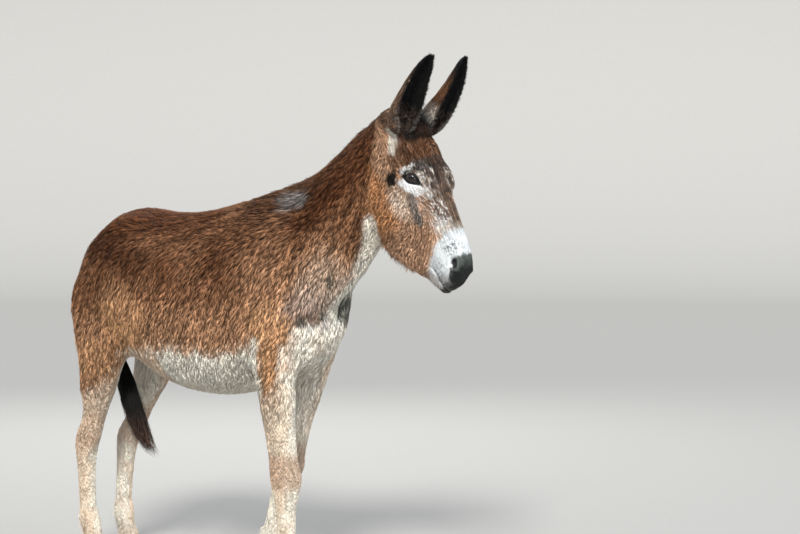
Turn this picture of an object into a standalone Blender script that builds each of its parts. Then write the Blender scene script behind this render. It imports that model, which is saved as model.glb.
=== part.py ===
"""A standing donkey in its winter coat, as a still, life-size museum model.

The donkey faces +X, its left side is at +Y, and it stands on four flat soles at z = 0.
It is modelled whole, as lofts and muscles joined into one body out to the tips of the coat.
Thin cuts then part the body into the pieces that a person would name.
"""

import math

import bmesh
import bpy
import numpy as np
from mathutils import Matrix, Vector

for old in list(bpy.data.objects):
    bpy.data.objects.remove(old)

# ---- driving sizes, in metres -------------------------------------------------------------

WITHERS = 1.33  # height at the withers, to which every station below is scaled
GAP = 0.0003  # clear space between neighbouring pieces
VOXEL = 0.0085  # grain of the joined body before it is thinned
BODY_TRIANGLES = 3800  # before it is parted
S = WITHERS / 1.33

NECK_YAW = math.radians(9)  # the neck bends a little to the donkey's left
HEAD_YAW = math.radians(10)
HEAD_PITCH = math.radians(57)  # of the line from poll to lips, below level
HEAD_CENTRE = Vector((0.845, 0.08, 1.376)) * S  # on the head's midline, level with the eyes
EYE_SPOT = Vector((0.0, 0.071, 0.002)) * S  # in the head's own axes
EYE_RADIUS = 0.0245 * S

# Trunk: x, top, belly, half width, height of the widest level.
TRUNK = (
    (-0.635, 1.060, 0.880, 0.075, 0.98),
    (-0.595, 1.145, 0.840, 0.125, 0.98),
    (-0.520, 1.222, 0.800, 0.182, 0.99),
    (-0.420, 1.270, 0.755, 0.222, 1.00),
    (-0.310, 1.256, 0.705, 0.248, 0.98),
    (-0.180, 1.252, 0.655, 0.262, 0.93),
    (-0.040, 1.264, 0.632, 0.266, 0.91),
    (0.100, 1.292, 0.640, 0.252, 0.92),
    (0.220, 1.322, 0.675, 0.222, 0.95),
    (0.320, 1.345, 0.705, 0.188, 0.98),
    (0.400, 1.300, 0.740, 0.165, 0.98),
    (0.465, 1.160, 0.800, 0.140, 0.96),
    (0.505, 1.030, 0.870, 0.080, 0.95),
)

# Neck: x and height of its middle line, slope of its axis, half depth, half width.
NECK = (
    (0.300, 1.080, 20, 0.250, 0.150),
    (0.385, 1.135, 28, 0.236, 0.135),
    (0.460, 1.190, 36, 0.212, 0.118),
    (0.540, 1.262, 42, 0.182, 0.104),
    (0.610, 1.352, 46, 0.154, 0.094),
    (0.680, 1.432, 48, 0.138, 0.086),
    (0.730, 1.482, 50, 0.118, 0.078),
)

# Head, in its own axes: distance from the eyes towards the lips, top, bottom, half width.
FACE = (
    (-0.250, 0.010, -0.090, 0.050),
    (-0.215, 0.048, -0.120, 0.072),
    (-0.150, 0.073, -0.150, 0.085),
    (-0.080, 0.084, -0.150, 0.091),
    (0.000, 0.063, -0.120, 0.092),
    (0.070, 0.047, -0.120, 0.082),
    (0.140, 0.037, -0.118, 0.066),
    (0.200, 0.028, -0.116, 0.055),
    (0.250, 0.018, -0.116, 0.050),
    (0.300, 0.000, -0.122, 0.053),
    (0.332, -0.032, -0.120, 0.047),
    (0.355, -0.066, -0.110, 0.028),
)
JAW = (
    (-0.070, -0.070, -0.150, 0.050),
    (0.000, -0.050, -0.190, 0.066),
    (0.060, -0.050, -0.232, 0.064),
    (0.120, -0.050, -0.246, 0.056),
    (0.180, -0.050, -0.219, 0.047),
    (0.240, -0.060, -0.188, 0.040),
    (0.300, -0.070, -0.160, 0.037),
    (0.335, -0.090, -0.136, 0.032),
    (0.352, -0.100, -0.124, 0.018),
)

# Legs: height, x, half length, distance out from the midline, half width.
# The last station lies below the ground, so that the ground trims each sole flat.
FORELEG = (
    (1.040, 0.320, 0.090, 0.110, 0.050),
    (0.960, 0.330, 0.125, 0.125, 0.070),
    (0.860, 0.340, 0.120, 0.132, 0.068),
    (0.760, 0.355, 0.092, 0.129, 0.062),
    (0.680, 0.360, 0.074, 0.122, 0.056),
    (0.580, 0.360, 0.058, 0.114, 0.050),
    (0.480, 0.364, 0.050, 0.107, 0.045),
    (0.430, 0.368, 0.050, 0.104, 0.046),
    (0.385, 0.372, 0.055, 0.102, 0.050),
    (0.335, 0.368, 0.044, 0.100, 0.040),
    (0.280, 0.362, 0.034, 0.098, 0.032),
    (0.200, 0.360, 0.034, 0.098, 0.030),
    (0.155, 0.360, 0.042, 0.098, 0.036),
    (0.115, 0.368, 0.037, 0.098, 0.034),
    (0.080, 0.382, 0.035, 0.098, 0.035),
    (0.058, 0.390, 0.042, 0.098, 0.040),
    (0.000, 0.400, 0.054, 0.098, 0.046),
    (-0.030, 0.405, 0.060, 0.098, 0.049),
)
HIND_LEG = (
    (1.120, -0.470, 0.060, 0.090, 0.040),
    (1.040, -0.482, 0.120, 0.115, 0.078),
    (0.960, -0.494, 0.144, 0.128, 0.086),
    (0.880, -0.492, 0.136, 0.136, 0.082),
    (0.780, -0.486, 0.118, 0.140, 0.073),
    (0.690, -0.500, 0.094, 0.137, 0.060),
    (0.615, -0.520, 0.074, 0.132, 0.048),
    (0.547, -0.540, 0.054, 0.127, 0.038),
    (0.497, -0.562, 0.048, 0.123, 0.036),
    (0.450, -0.588, 0.054, 0.120, 0.038),
    (0.400, -0.602, 0.043, 0.118, 0.037),
    (0.330, -0.604, 0.034, 0.116, 0.031),
    (0.200, -0.600, 0.032, 0.114, 0.029),
    (0.155, -0.594, 0.041, 0.113, 0.036),
    (0.115, -0.582, 0.036, 0.112, 0.033),
    (0.080, -0.567, 0.034, 0.112, 0.034),
    (0.058, -0.559, 0.041, 0.112, 0.039),
    (0.000, -0.550, 0.052, 0.112, 0.045),
    (-0.030, -0.545, 0.058, 0.112, 0.048),
)

# How each leg swings: the slope of its lean, and the height of the pivot it swings from.
LEANS = {
    ("fore", "right"): (math.tan(math.radians(2.5)), 0.95),
    ("fore", "left"): (-math.tan(math.radians(15.5)), 1.00),
    ("hind", "right"): (0.0, 0.90),
    ("hind", "left"): (-math.tan(math.radians(6)), 0.90),
}
# Heights at which thin cuts part each leg: above the knee or hock, the fetlock and the hoof.
LEG_CUTS = {"fore": (0.440, 0.175, 0.058), "hind": (0.530, 0.175, 0.058)}
# Each upper leg's cut: its back and front, its height at the midline, and how steeply it rises
# outward from there.
UPPER_LEG_CUTS = {"fore": (0.215, 0.520, 0.700, 0.75), "hind": (-0.720, -0.335, 0.710, 1.30)}

# Ear: share of its length, radius of its tube, half the angle that the tube spans, thickness.
EAR = (
    (0.00, 0.036, 150, 0.010),
    (0.10, 0.047, 138, 0.009),
    (0.25, 0.051, 112, 0.008),
    (0.42, 0.048, 98, 0.007),
    (0.60, 0.043, 88, 0.007),
    (0.75, 0.036, 82, 0.006),
    (0.88, 0.027, 78, 0.006),
    (0.96, 0.018, 74, 0.005),
    (1.00, 0.010, 70, 0.004),
)
EAR_ROOT = (-0.158, 0.074, 0.030)  # in the head's own axes, mirrored for the right ear
EAR_TIP = (-0.272, 0.100, 0.282)
EAR_SPLAY = {"right": 0.0, "left": 0.010}  # how much further out each tip lies
EAR_TURN = {"right": 15, "left": -4}  # degrees that each ear's opening faces outward
EAR_BOW = {"right": 0.0, "left": 0.030}  # how far the middle of each ear bends outward

# Tail: x, y, height and radius along its path. It swings forward between the hind legs.
TAIL = (
    (-0.550, 0.000, 1.125, 0.030),
    (-0.606, 0.000, 1.090, 0.031),
    (-0.640, 0.000, 1.010, 0.029),
    (-0.648, 0.000, 0.920, 0.027),
    (-0.636, 0.000, 0.835, 0.025),
    (-0.602, 0.000, 0.760, 0.025),
    (-0.560, 0.000, 0.695, 0.027),
    (-0.526, 0.003, 0.630, 0.030),
    (-0.500, 0.006, 0.560, 0.032),
    (-0.468, 0.010, 0.490, 0.032),
    (-0.428, 0.015, 0.420, 0.028),
    (-0.376, 0.020, 0.378, 0.012),
)
DOCK_END = 0.800  # height at which the dock's short hair gives way to the long switch

SWUNG_BACK = 0.035  # the left shoulder is this far behind the right one
FETLOCK = 0.10  # below this height the foot stays level
SIDES = {"right": -1, "left": 1}


# ---- shapes -------------------------------------------------------------------------------


def through(stations, steps):
    """Rows on a smooth curve through the stations, with this many steps between two of them."""
    rows = np.array(stations, float)
    ends = np.vstack([2 * rows[0] - rows[1], rows, 2 * rows[-1] - rows[-2]])
    out = []
    for i in range(1, len(rows)):
        a, b, c, d = ends[i - 1 : i + 3]
        for t in np.arange(steps) / steps:
            bend = 2 * a - 5 * b + 4 * c - d
            twist = 3 * b - a - 3 * c + d
            out.append((2 * b + (c - a) * t + bend * t**2 + twist * t**3) / 2)
    out.append(rows[-1])
    return np.array(out)


def oval(centre, side, up, half, top, bottom, roundness=2.2, count=32):
    """A ring of points, rounder or squarer than an ellipse, with its own top and bottom."""
    centre, side, up = Vector(centre), Vector(side), Vector(up)
    ring = []
    for i in range(count):
        turn = 2 * math.pi * i / count
        c, s = math.cos(turn), math.sin(turn)
        across = half * math.copysign(abs(c) ** (2 / roundness), c)
        reach = top if s > 0 else bottom
        along = reach * math.copysign(abs(s) ** (2 / roundness), s)
        ring.append(centre + side * across + up * along)
    return ring


def loft(bm, rings):
    """Skin a row of rings, with a row of strips from side to side closing each end."""
    rows = [[bm.verts.new(p) for p in ring] for ring in rings]
    count = len(rows[0])
    made = []
    for low, high in zip(rows, rows[1:]):
        for i in range(count):
            j = (i + 1) % count
            made.append(bm.faces.new((low[i], low[j], high[j], high[i])))
    for row in (rows[0], rows[-1]):
        for i in range(count // 2 - 1):
            made.append(bm.faces.new((row[i], row[i + 1], row[-2 - i], row[-1 - i])))
    bmesh.ops.recalc_face_normals(bm, faces=made)


def ball(bm, centre, radii, tilt=0.0, segments=20):
    """An ellipsoid, tilted in the donkey's side view by an angle in degrees."""
    place = (
        Matrix.Translation(Vector(centre) * S)
        @ Matrix.Rotation(math.radians(tilt), 4, "Y")
        @ Matrix.Diagonal((*[r * S for r in radii], 1))
    )
    bmesh.ops.create_uvsphere(bm, u_segments=segments, v_segments=segments // 2, radius=1, matrix=place)


def object_from(bm, name, collection):
    mesh = bpy.data.meshes.new(name)
    bm.to_mesh(mesh)
    bm.free()
    ob = bpy.data.objects.new(name, mesh)
    collection.objects.link(ob)
    return ob


def new_collection(name):
    made = bpy.data.collections.new(name)
    bpy.context.scene.collection.children.link(made)
    return made


def evaluated(ob):
    """The object's mesh with its modifiers applied."""
    bpy.context.view_layer.update()
    graph = bpy.context.evaluated_depsgraph_get()
    return bpy.data.meshes.new_from_object(ob.evaluated_get(graph))


def bake_modifiers(ob):
    """Keep the shape that the modifiers make, without them."""
    mesh = evaluated(ob)
    ob.modifiers.clear()
    ob.data = mesh


def hidden(ob):
    """Mark an object as a cutter."""
    ob.hide_render = True
    ob.display_type = "WIRE"
    return ob


donkey = new_collection("donkey")
cutters = new_collection("cutters")


# ---- the body, whole ----------------------------------------------------------------------

HEAD_FRAME = (
    Matrix.Translation(HEAD_CENTRE)
    @ Matrix.Rotation(HEAD_YAW, 4, "Z")
    @ Matrix.Rotation(HEAD_PITCH, 4, "Y")
)


def add_trunk(bm):
    rings = []
    for x, top, belly, half, level in through(TRUNK, 3) * S:
        centre = (x, 0, level)
        rings.append(oval(centre, (0, 1, 0), (0, 0, 1), half, top - level, level - belly, 2.15, 40))
    loft(bm, rings)


def add_neck(bm):
    pivot = NECK[0][0] * S
    rings = []
    for x, z, slope, depth, half in through(NECK, 3):
        lean = math.radians(slope)
        bend = (x * S - pivot) * math.tan(NECK_YAW)
        up = Vector((-math.sin(lean), 0, math.cos(lean)))
        side = Vector((-math.sin(NECK_YAW), math.cos(NECK_YAW), 0))
        rings.append(oval((x * S, bend, z * S), side, up, half * S, depth * S, depth * S, 2.1))
    loft(bm, rings)


def add_head(bm):
    """The face and the narrower jaw below it, in the head's own axes, then turned into place."""
    head = bmesh.new()
    for stations, roundness in ((FACE, 2.5), (JAW, 2.3)):
        rings = []
        for s, top, bottom, half in through(stations, 3) * S:
            middle = (top + bottom) / 2
            reach = (top - bottom) / 2
            rings.append(oval((s, 0, middle), (0, 1, 0), (0, 0, 1), half, reach, reach, roundness))
        loft(head, rings)
    for side in SIDES.values():
        ball(head, (0.035, side * 0.048, -0.115), (0.105, 0.040, 0.100), 20)  # cheek
        ball(head, (-0.006, side * 0.064, 0.030), (0.078, 0.031, 0.030), -6)  # brow
        ball(head, (-0.200, side * 0.064, 0.020), (0.046, 0.036, 0.058), 20)  # root of the ear
        ball(head, (0.090, side * 0.056, -0.030), (0.090, 0.016, 0.016), 4)  # cheek bone
        ball(head, (0.306, side * 0.036, -0.050), (0.034, 0.022, 0.032), 20)  # nostril wing
    ball(head, (0.330, 0, -0.124), (0.028, 0.030, 0.018), 10)  # chin
    head.transform(HEAD_FRAME)
    spare = bpy.data.meshes.new("head_shape")
    head.to_mesh(spare)
    head.free()
    bm.from_mesh(spare)
    bpy.data.meshes.remove(spare)


def leg_place(height, kind, side):
    """How far the leg's lean carries a point at this height forward."""
    slope, pivot = LEANS[kind, side]
    return slope * (pivot - min(pivot, max(height, FETLOCK)))


def add_leg(bm, kind, side):
    stations = FORELEG if kind == "fore" else HIND_LEG
    rings = []
    for z, x, length, out, half in through(stations, 2):
        centre = Vector((x + leg_place(z, kind, side), SIDES[side] * out, z)) * S
        rings.append(oval(centre, (0, 1, 0), (1, 0, 0), half * S, length * S, length * S, 2.2, 24))
    loft(bm, rings)


def add_muscles(bm):
    for side in SIDES.values():
        back = 0 if side < 0 else SWUNG_BACK
        ball(bm, (0.345 - back, side * 0.105, 1.040), (0.090, 0.066, 0.210), 14)  # shoulder blade
        ball(bm, (0.270 - back, side * 0.140, 0.880), (0.125, 0.068, 0.120))  # triceps
        ball(bm, (0.430 - back, side * 0.104, 0.905), (0.072, 0.060, 0.090))  # point of shoulder
        ball(bm, (0.425 - back / 2, side * 0.050, 0.835), (0.070, 0.064, 0.100), 20)  # breast
        ball(bm, (-0.450, side * 0.120, 1.020), (0.150, 0.096, 0.190), 18)  # haunch
        ball(bm, (-0.360, side * 0.146, 1.155), (0.110, 0.060, 0.080))  # hip bone
        ball(bm, (-0.405, side * 0.158, 0.800), (0.075, 0.060, 0.110), 20)  # stifle
        ball(bm, (-0.570, side * 0.082, 0.975), (0.076, 0.066, 0.135))  # buttock


def whole_body():
    """The body in one piece, without ears, eyes, mane and tail."""
    bm = bmesh.new()
    add_trunk(bm)
    add_neck(bm)
    add_head(bm)
    add_muscles(bm)
    for kind, side in LEANS:
        add_leg(bm, kind, side)
    ob = object_from(bm, "body", donkey)
    melt = ob.modifiers.new("one body", "REMESH")
    melt.mode = "VOXEL"
    melt.voxel_size = VOXEL
    bake_modifiers(ob)
    broad = ob.vertex_groups.new(name="broad form")
    for vert in ob.data.vertices:
        behind_head = min(max((0.66 * S - vert.co.x) / (0.12 * S), 0), 1)
        above_legs = min(max((vert.co.z - 0.50 * S) / (0.22 * S), 0), 1)
        broad.add([vert.index], behind_head * above_legs, "REPLACE")
    for iterations, group in ((8, ""), (60, broad.name)):
        ease = ob.modifiers.new("soft form", "SMOOTH")
        ease.factor = 0.6
        ease.iterations = iterations
        ease.vertex_group = group
    bake_modifiers(ob)
    ob.vertex_groups.clear()
    return ob


def thinned(ob, triangles):
    """Fewer triangles for the same form, most of them where it curves most."""
    thin = ob.modifiers.new("fewer triangles", "DECIMATE")
    thin.ratio = triangles / (2 * len(ob.data.polygons))
    thin.use_collapse_triangulate = True
    bake_modifiers(ob)


def box(name, low, high, slope=0.0, frame=None, grow=0.0):
    """A block between two corners, its top rising along Y by a slope, as a cutter."""
    low = Vector(low) * S - Vector((grow, grow, grow))
    high = Vector(high) * S + Vector((grow, grow, grow * math.hypot(1, slope)))
    bm = bmesh.new()
    bmesh.ops.create_cube(bm, size=1)
    for vert in bm.verts:
        top = vert.co.z > 0
        vert.co = [b if c > 0 else a for a, b, c in zip(low, high, vert.co)]
        if top:
            vert.co.z += slope * vert.co.y
    if frame:
        bm.transform(frame)
    return hidden(object_from(bm, name, cutters))


def trim(ob, tool, operation="DIFFERENCE"):
    """Cut an object by another, for good."""
    change = ob.modifiers.new(tool.name, "BOOLEAN")
    change.operation = operation
    change.solver = "EXACT"
    change.object = tool
    bake_modifiers(ob)


def grown(ob, name, by=GAP):
    """A copy of an object, larger by a small clearance all round, as a cutter."""
    copy = bpy.data.objects.new(name, ob.data.copy())
    cutters.objects.link(copy)
    hidden(copy)
    swell = copy.modifiers.new("clearance", "DISPLACE")
    swell.strength = by
    swell.mid_level = 0
    bake_modifiers(copy)
    return copy


def take(whole, name, low, high, slope=0.0, frame=None):
    """Part off what lies in a block, and leave a thin clear cut around it."""
    piece = bpy.data.objects.new(name, whole.data.copy())
    donkey.objects.link(piece)
    trim(piece, box(f"{name}_block", low, high, slope, frame), "INTERSECT")
    trim(whole, box(f"{name}_clear", low, high, slope, frame, GAP))


# ---- eyes, nostrils and mouth -------------------------------------------------------------


def eyeball(name, side, radius, collection):
    """A ball at the centre of one eye, with its poles to the front and the back of the eye."""
    sign = SIDES[side]
    spot = Matrix.Translation(Vector((EYE_SPOT.x, sign * EYE_SPOT.y, EYE_SPOT.z)))
    look = Matrix.Rotation(math.radians(-90 * sign), 4, "X")
    bm = bmesh.new()
    bmesh.ops.create_uvsphere(
        bm, u_segments=14, v_segments=8, radius=radius, matrix=HEAD_FRAME @ spot @ look
    )
    return object_from(bm, name, collection)


def carve_head(ob):
    """Eye sockets, nostrils and the line of the mouth."""
    for side, sign in SIDES.items():
        trim(ob, hidden(eyeball(f"socket_{side}", side, EYE_RADIUS + 2 * GAP, cutters)))
        bm = bmesh.new()
        turn = Matrix.Rotation(math.radians(-35) * sign, 4, "Z") @ Matrix.Rotation(math.radians(30), 4, "Y")
        size = Matrix.Diagonal((0.022 * S, 0.007 * S, 0.013 * S, 1))
        spot = Matrix.Translation(Vector((0.294, sign * 0.054, -0.038)) * S)
        frame = HEAD_FRAME @ spot @ turn @ size
        bmesh.ops.create_uvsphere(bm, u_segments=12, v_segments=8, radius=1, matrix=frame)
        trim(ob, hidden(object_from(bm, f"nostril_{side}", cutters)))
    tilt = HEAD_FRAME @ Matrix.Translation(Vector((0.262, 0, -0.114)) * S)
    trim(ob, box("mouth", (0, -0.08, -0.0012), (0.14, 0.08, 0.0012), frame=tilt))


# ---- ears, mane and tail ------------------------------------------------------------------


def add_ear(side, clearance):
    """A tall cupped leaf: a thick arc, wide and nearly closed at its root, that narrows to the tip."""
    sign = SIDES[side]
    root = HEAD_FRAME @ (Vector((EAR_ROOT[0], sign * EAR_ROOT[1], EAR_ROOT[2])) * S)
    out = sign * (EAR_TIP[1] + EAR_SPLAY[side])
    tip = HEAD_FRAME @ (Vector((EAR_TIP[0], out, EAR_TIP[2])) * S)
    up = (tip - root).normalized()
    turn = math.radians(EAR_TURN[side])
    ahead = HEAD_FRAME.to_3x3() @ Vector((math.cos(turn), sign * math.sin(turn), 0))
    across = up.cross(ahead).normalized()
    ahead = across.cross(up)
    bow = HEAD_FRAME.to_3x3() @ Vector((0.35, sign, 0.35)) * EAR_BOW[side] * S
    rings = []
    for share, radius, half_span, thick in through(EAR, 1):
        centre = root + (tip - root) * share + bow * math.sin(math.pi * share)
        span = math.radians(half_span)
        outer = [span * (2 * i / 6 - 1) for i in range(7)]
        ring = []
        for turns, edge in ((outer, 0), (outer[::-1], thick)):
            for angle in turns:
                lip = 1 - 0.6 * (angle / span) ** 4
                reach = (radius - edge * lip) * S
                ring.append(centre + across * reach * math.sin(angle) - ahead * reach * math.cos(angle))
        rings.append(ring)
    bm = bmesh.new()
    loft(bm, rings)
    ob = object_from(bm, f"ear_{side}", donkey)
    trim(ob, clearance)
    return ob


def add_mane(clearance):
    """Short hair that stands along the crest, from between the ears to the withers."""
    bm = bmesh.new()
    rings = []
    rows = through(NECK, 2)
    for i, (x, z, slope, depth, _) in enumerate(rows):
        height = 0.010 + 0.036 * math.sin(math.pi * (i + 0.5) / len(rows)) ** 0.5
        lean = math.radians(slope)
        bend = (x - NECK[0][0]) * math.tan(NECK_YAW)
        up = Vector((-math.sin(lean), 0, math.cos(lean)))
        side = Vector((-math.sin(NECK_YAW), math.cos(NECK_YAW), 0))
        centre = Vector((x, bend, z)) * S + up * (depth - 0.022) * S
        rings.append(oval(centre, side, up, 0.018 * S, height * S, 0.020 * S, 2.0, 12))
    loft(bm, rings)
    ob = object_from(bm, "mane", donkey)
    trim(ob, clearance)
    return ob


def add_tail(clearance):
    """The dock, with short hair, and the switch of long hair below it."""
    rows = through(TAIL, 2)
    rings = []
    for i, (x, y, z, radius) in enumerate(rows):
        ahead = Vector(rows[min(i + 1, len(rows) - 1)][:3] - rows[max(i - 1, 0)][:3]).normalized()
        side = Vector((0, 1, 0))
        up = ahead.cross(side).normalized()
        rings.append(oval(Vector((x, y, z)) * S, side, up, radius * S, radius * S, radius * S, 2, 12))
    bm = bmesh.new()
    loft(bm, rings)
    ob = object_from(bm, "tail_switch", donkey)
    trim(ob, clearance)
    take(ob, "tail_dock", (-0.80, -0.10, DOCK_END), (-0.50, 0.10, 1.30))


# ---- the pieces ---------------------------------------------------------------------------


def part_leg(body, kind, side):
    """Hoof, pastern, shank and upper leg, from the ground up."""
    fore = kind == "fore"
    sign = SIDES[side]
    names = (f"hoof_{kind}", f"pastern_{kind}", f"shank_{kind}", "forearm" if fore else "thigh")
    stations = FORELEG if fore else HIND_LEG
    levels = (-0.010, *LEG_CUTS[kind][::-1])
    for name, low, high in zip(names, levels, levels[1:]):
        near = [r for r in stations if low - 0.05 < r[0] < high + 0.05]
        places = [r[1] + leg_place(r[0], kind, side) for r in near]
        lengths = [r[2] for r in near]
        ahead = max(p + n for p, n in zip(places, lengths)) + 0.03
        behind = min(p - n for p, n in zip(places, lengths)) - 0.03
        inner, outer = sorted((sign * 0.046, sign * 0.220))
        take(body, f"{name}_{side}", (behind, inner, low), (ahead, outer, high))
    behind, ahead, top, slope = UPPER_LEG_CUTS[kind]
    carried = leg_place(0.8, kind, side)
    inner, outer = sorted((sign * 0.046, sign * 0.300))
    low = (behind + carried, inner, levels[-1])
    high = (ahead + carried, outer, top)
    take(body, f"{names[3]}_{side}", low, high, sign * slope)


def part_front(body):
    """Muzzle, head and neck."""
    take(body, "muzzle", (0.245, -0.2, -0.3), (0.50, 0.2, 0.2), frame=HEAD_FRAME)
    throat = (
        HEAD_FRAME
        @ Matrix.Translation(Vector((-0.105, 0, -0.115)) * S)
        @ Matrix.Rotation(math.radians(-47), 4, "Y")
    )
    take(body, "head", (0, -0.3, -0.45), (0.7, 0.3, 0.45), frame=throat)
    root = Matrix.Translation(Vector((0.425, 0, 1.150)) * S) @ Matrix.Rotation(math.radians(-25), 4, "Y")
    take(body, "neck", (0, -0.4, -0.5), (0.9, 0.4, 0.5), frame=root)


def paint(name, colour, roughness):
    """A plain material, one for each piece that it is on."""
    material = bpy.data.materials.new(name)
    material.use_nodes = True
    shader = material.node_tree.nodes["Principled BSDF"]
    shader.inputs["Base Color"].default_value = (*colour, 1)
    shader.inputs["Roughness"].default_value = roughness
    shader.inputs["Metallic"].default_value = 0
    return material


COLOURS = (
    ("eye", (0.010, 0.006, 0.004), 0.10),
    ("hoof", (0.045, 0.038, 0.032), 0.55),
    ("muzzle", (0.550, 0.530, 0.500), 0.85),
    ("mane", (0.045, 0.020, 0.012), 0.90),
    ("tail_switch", (0.020, 0.012, 0.010), 0.85),
    ("shank", (0.480, 0.400, 0.320), 0.90),
    ("pastern", (0.400, 0.330, 0.270), 0.90),
    ("forearm", (0.480, 0.390, 0.300), 0.90),
    ("", (0.200, 0.075, 0.035), 0.90),
)


def finish(ob):
    """Its own material, smooth faces, and no scraps of a material left by a cutter."""
    colour, roughness = next((c, r) for start, c, r in COLOURS if ob.name.startswith(start))
    ob.data.materials.clear()
    ob.data.materials.append(paint(ob.name, colour, roughness))
    ob.data.shade_smooth()
    ob.data.set_sharp_from_angle(angle=math.radians(50))


def centre_all():
    """Bring the middle of the donkey's footprint box to the origin."""
    points = np.array([v.co for ob in donkey.objects for v in ob.data.vertices])
    low, high = points.min(axis=0), points.max(axis=0)
    shift = Vector((-(low[0] + high[0]) / 2, -(low[1] + high[1]) / 2, -low[2]))
    for ob in [*donkey.objects, *cutters.objects]:
        ob.data.transform(Matrix.Translation(shift))


trunk = whole_body()
thinned(trunk, BODY_TRIANGLES)
trim(trunk, box("ground", (-1, -1, -1), (1, 1, 0)))
around = grown(trunk, "around_body")
add_mane(around)
add_tail(around)
for side in SIDES:
    add_ear(side, around)
carve_head(trunk)
for side in SIDES:
    eyeball(f"eye_{side}", side, EYE_RADIUS, donkey)
for kind, side in LEANS:
    part_leg(trunk, kind, side)
part_front(trunk)
trunk.name = "trunk"
for ob in donkey.objects:
    finish(ob)
centre_all()
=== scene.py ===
# %% [markdown]
# # A life-size donkey in its winter coat
# A donkey is a skin over muscle, a coat over the skin, and a few hard or wet things: hooves and eyes.
# The lesson makes them in that order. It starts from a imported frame, whose solids give the true
# outline out to the tips of the coat, so every piece is made to that outline.

# %% Load the frame
import math
from contextlib import contextmanager

import bpy
import numpy as np
from mathutils import Matrix, Vector
from mathutils.bvhtree import BVHTree
from mathutils.kdtree import KDTree


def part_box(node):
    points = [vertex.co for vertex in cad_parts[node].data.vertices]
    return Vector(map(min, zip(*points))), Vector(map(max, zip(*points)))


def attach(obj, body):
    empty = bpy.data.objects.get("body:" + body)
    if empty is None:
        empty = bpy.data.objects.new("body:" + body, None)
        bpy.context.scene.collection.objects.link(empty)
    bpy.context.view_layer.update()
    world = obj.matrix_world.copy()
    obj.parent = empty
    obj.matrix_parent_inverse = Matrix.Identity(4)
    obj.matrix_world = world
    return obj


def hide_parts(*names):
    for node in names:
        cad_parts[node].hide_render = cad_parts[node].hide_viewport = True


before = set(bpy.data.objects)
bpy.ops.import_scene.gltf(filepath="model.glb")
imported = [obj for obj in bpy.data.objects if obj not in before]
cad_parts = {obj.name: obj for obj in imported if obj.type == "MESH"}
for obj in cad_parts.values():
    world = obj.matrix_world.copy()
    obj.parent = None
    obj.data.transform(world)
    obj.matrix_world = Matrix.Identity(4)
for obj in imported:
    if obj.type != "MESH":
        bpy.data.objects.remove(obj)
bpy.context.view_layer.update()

# %% [markdown]
# ## The camera
# The camera stands as a visitor would, at eye level, well to the right of the donkey's nose. A long
# lens keeps the proportions calm. It goes in first, so that each step can be looked at.

# %% Camera
SIDES = {"right": -1, "left": 1}
LENS = 103.5  # mm, for a sensor 36 mm wide
STAND = (5.609, -5.367, 1.45)
TILT = math.radians(87.21)  # from looking straight down
HEADING = math.radians(42.67)


def add_object(name, data):
    ob = bpy.data.objects.new(name, data)
    bpy.context.scene.collection.objects.link(ob)
    return ob


camera_data = bpy.data.cameras.new("camera")
camera_data.lens = LENS
camera_data.sensor_width = 36
camera = add_object("camera", camera_data)
camera.location = STAND
camera.rotation_euler = (TILT, 0, HEADING)
bpy.context.scene.camera = camera
print("camera at", tuple(round(c, 2) for c in camera.location))

# %% [markdown]
# ## Landmarks
# The head has axes of its own: along the face towards the lips, out through the forehead, and to
# the left. Its middle lies halfway between the eyes. Everything on the head is placed in them.

# %% Head axes and smooth steps
HEAD_YAW = math.radians(10)
HEAD_PITCH = math.radians(57)


def middle_of(node):
    low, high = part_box(node)
    return (Vector(low) + Vector(high)) / 2


head_turn = Matrix.Rotation(HEAD_YAW, 3, "Z") @ Matrix.Rotation(HEAD_PITCH, 3, "Y")
head_middle = (middle_of("eye_right") + middle_of("eye_left")) / 2 - head_turn @ Vector((0, 0, 0.002))
HEAD_AXES = np.array([head_turn.col[0], head_turn.col[2], head_turn.col[1]])
TO_LIPS, TO_BROW, TO_LEFT = HEAD_AXES


def in_head(points):
    """Distances towards the lips, out through the forehead, and to the left, for rows of points."""
    return (points - np.array(head_middle)) @ HEAD_AXES.T


def from_head(s, b, side):
    return np.array(head_middle) + s * TO_LIPS + b * TO_BROW + side * TO_LEFT


def step(values, start, end):
    """0 before start, 1 after end, and smooth between. It falls where end is below start."""
    t = np.clip((values - start) / (end - start), 0, 1)
    return t * t * (3 - 2 * t)


def bump(distance):
    """1 at distance 0, falling smoothly to 0 at distance 1."""
    return 1 - step(distance, 0, 1)


def unit(vectors):
    return vectors / np.maximum(np.linalg.norm(vectors, axis=-1, keepdims=True), 1e-9)


def path_distance(points, path):
    """Distance of each point from a path of straight pieces."""
    nearest = np.full(len(points), 9.0)
    for a, b in zip(np.array(path, float), np.array(path[1:], float)):
        t = np.clip((points - a) @ (b - a) / ((b - a) @ (b - a)), 0, 1)
        nearest = np.minimum(nearest, np.linalg.norm(points - a - t[:, None] * (b - a), axis=1))
    return nearest

# %% Smooth random fields
def wobble(points, wavelength, seed):
    """A smooth random field, mostly between -1 and 1, made of crossing waves."""
    rng = np.random.default_rng(seed)
    total = np.zeros(len(points))
    for _ in range(10):
        heading = unit(rng.normal(size=3))
        pace = 2 * math.pi / (wavelength * rng.uniform(0.7, 1.5))
        total += np.sin(points @ (heading * pace) + rng.uniform(0, 2 * math.pi))
    return total / 3.2


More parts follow.
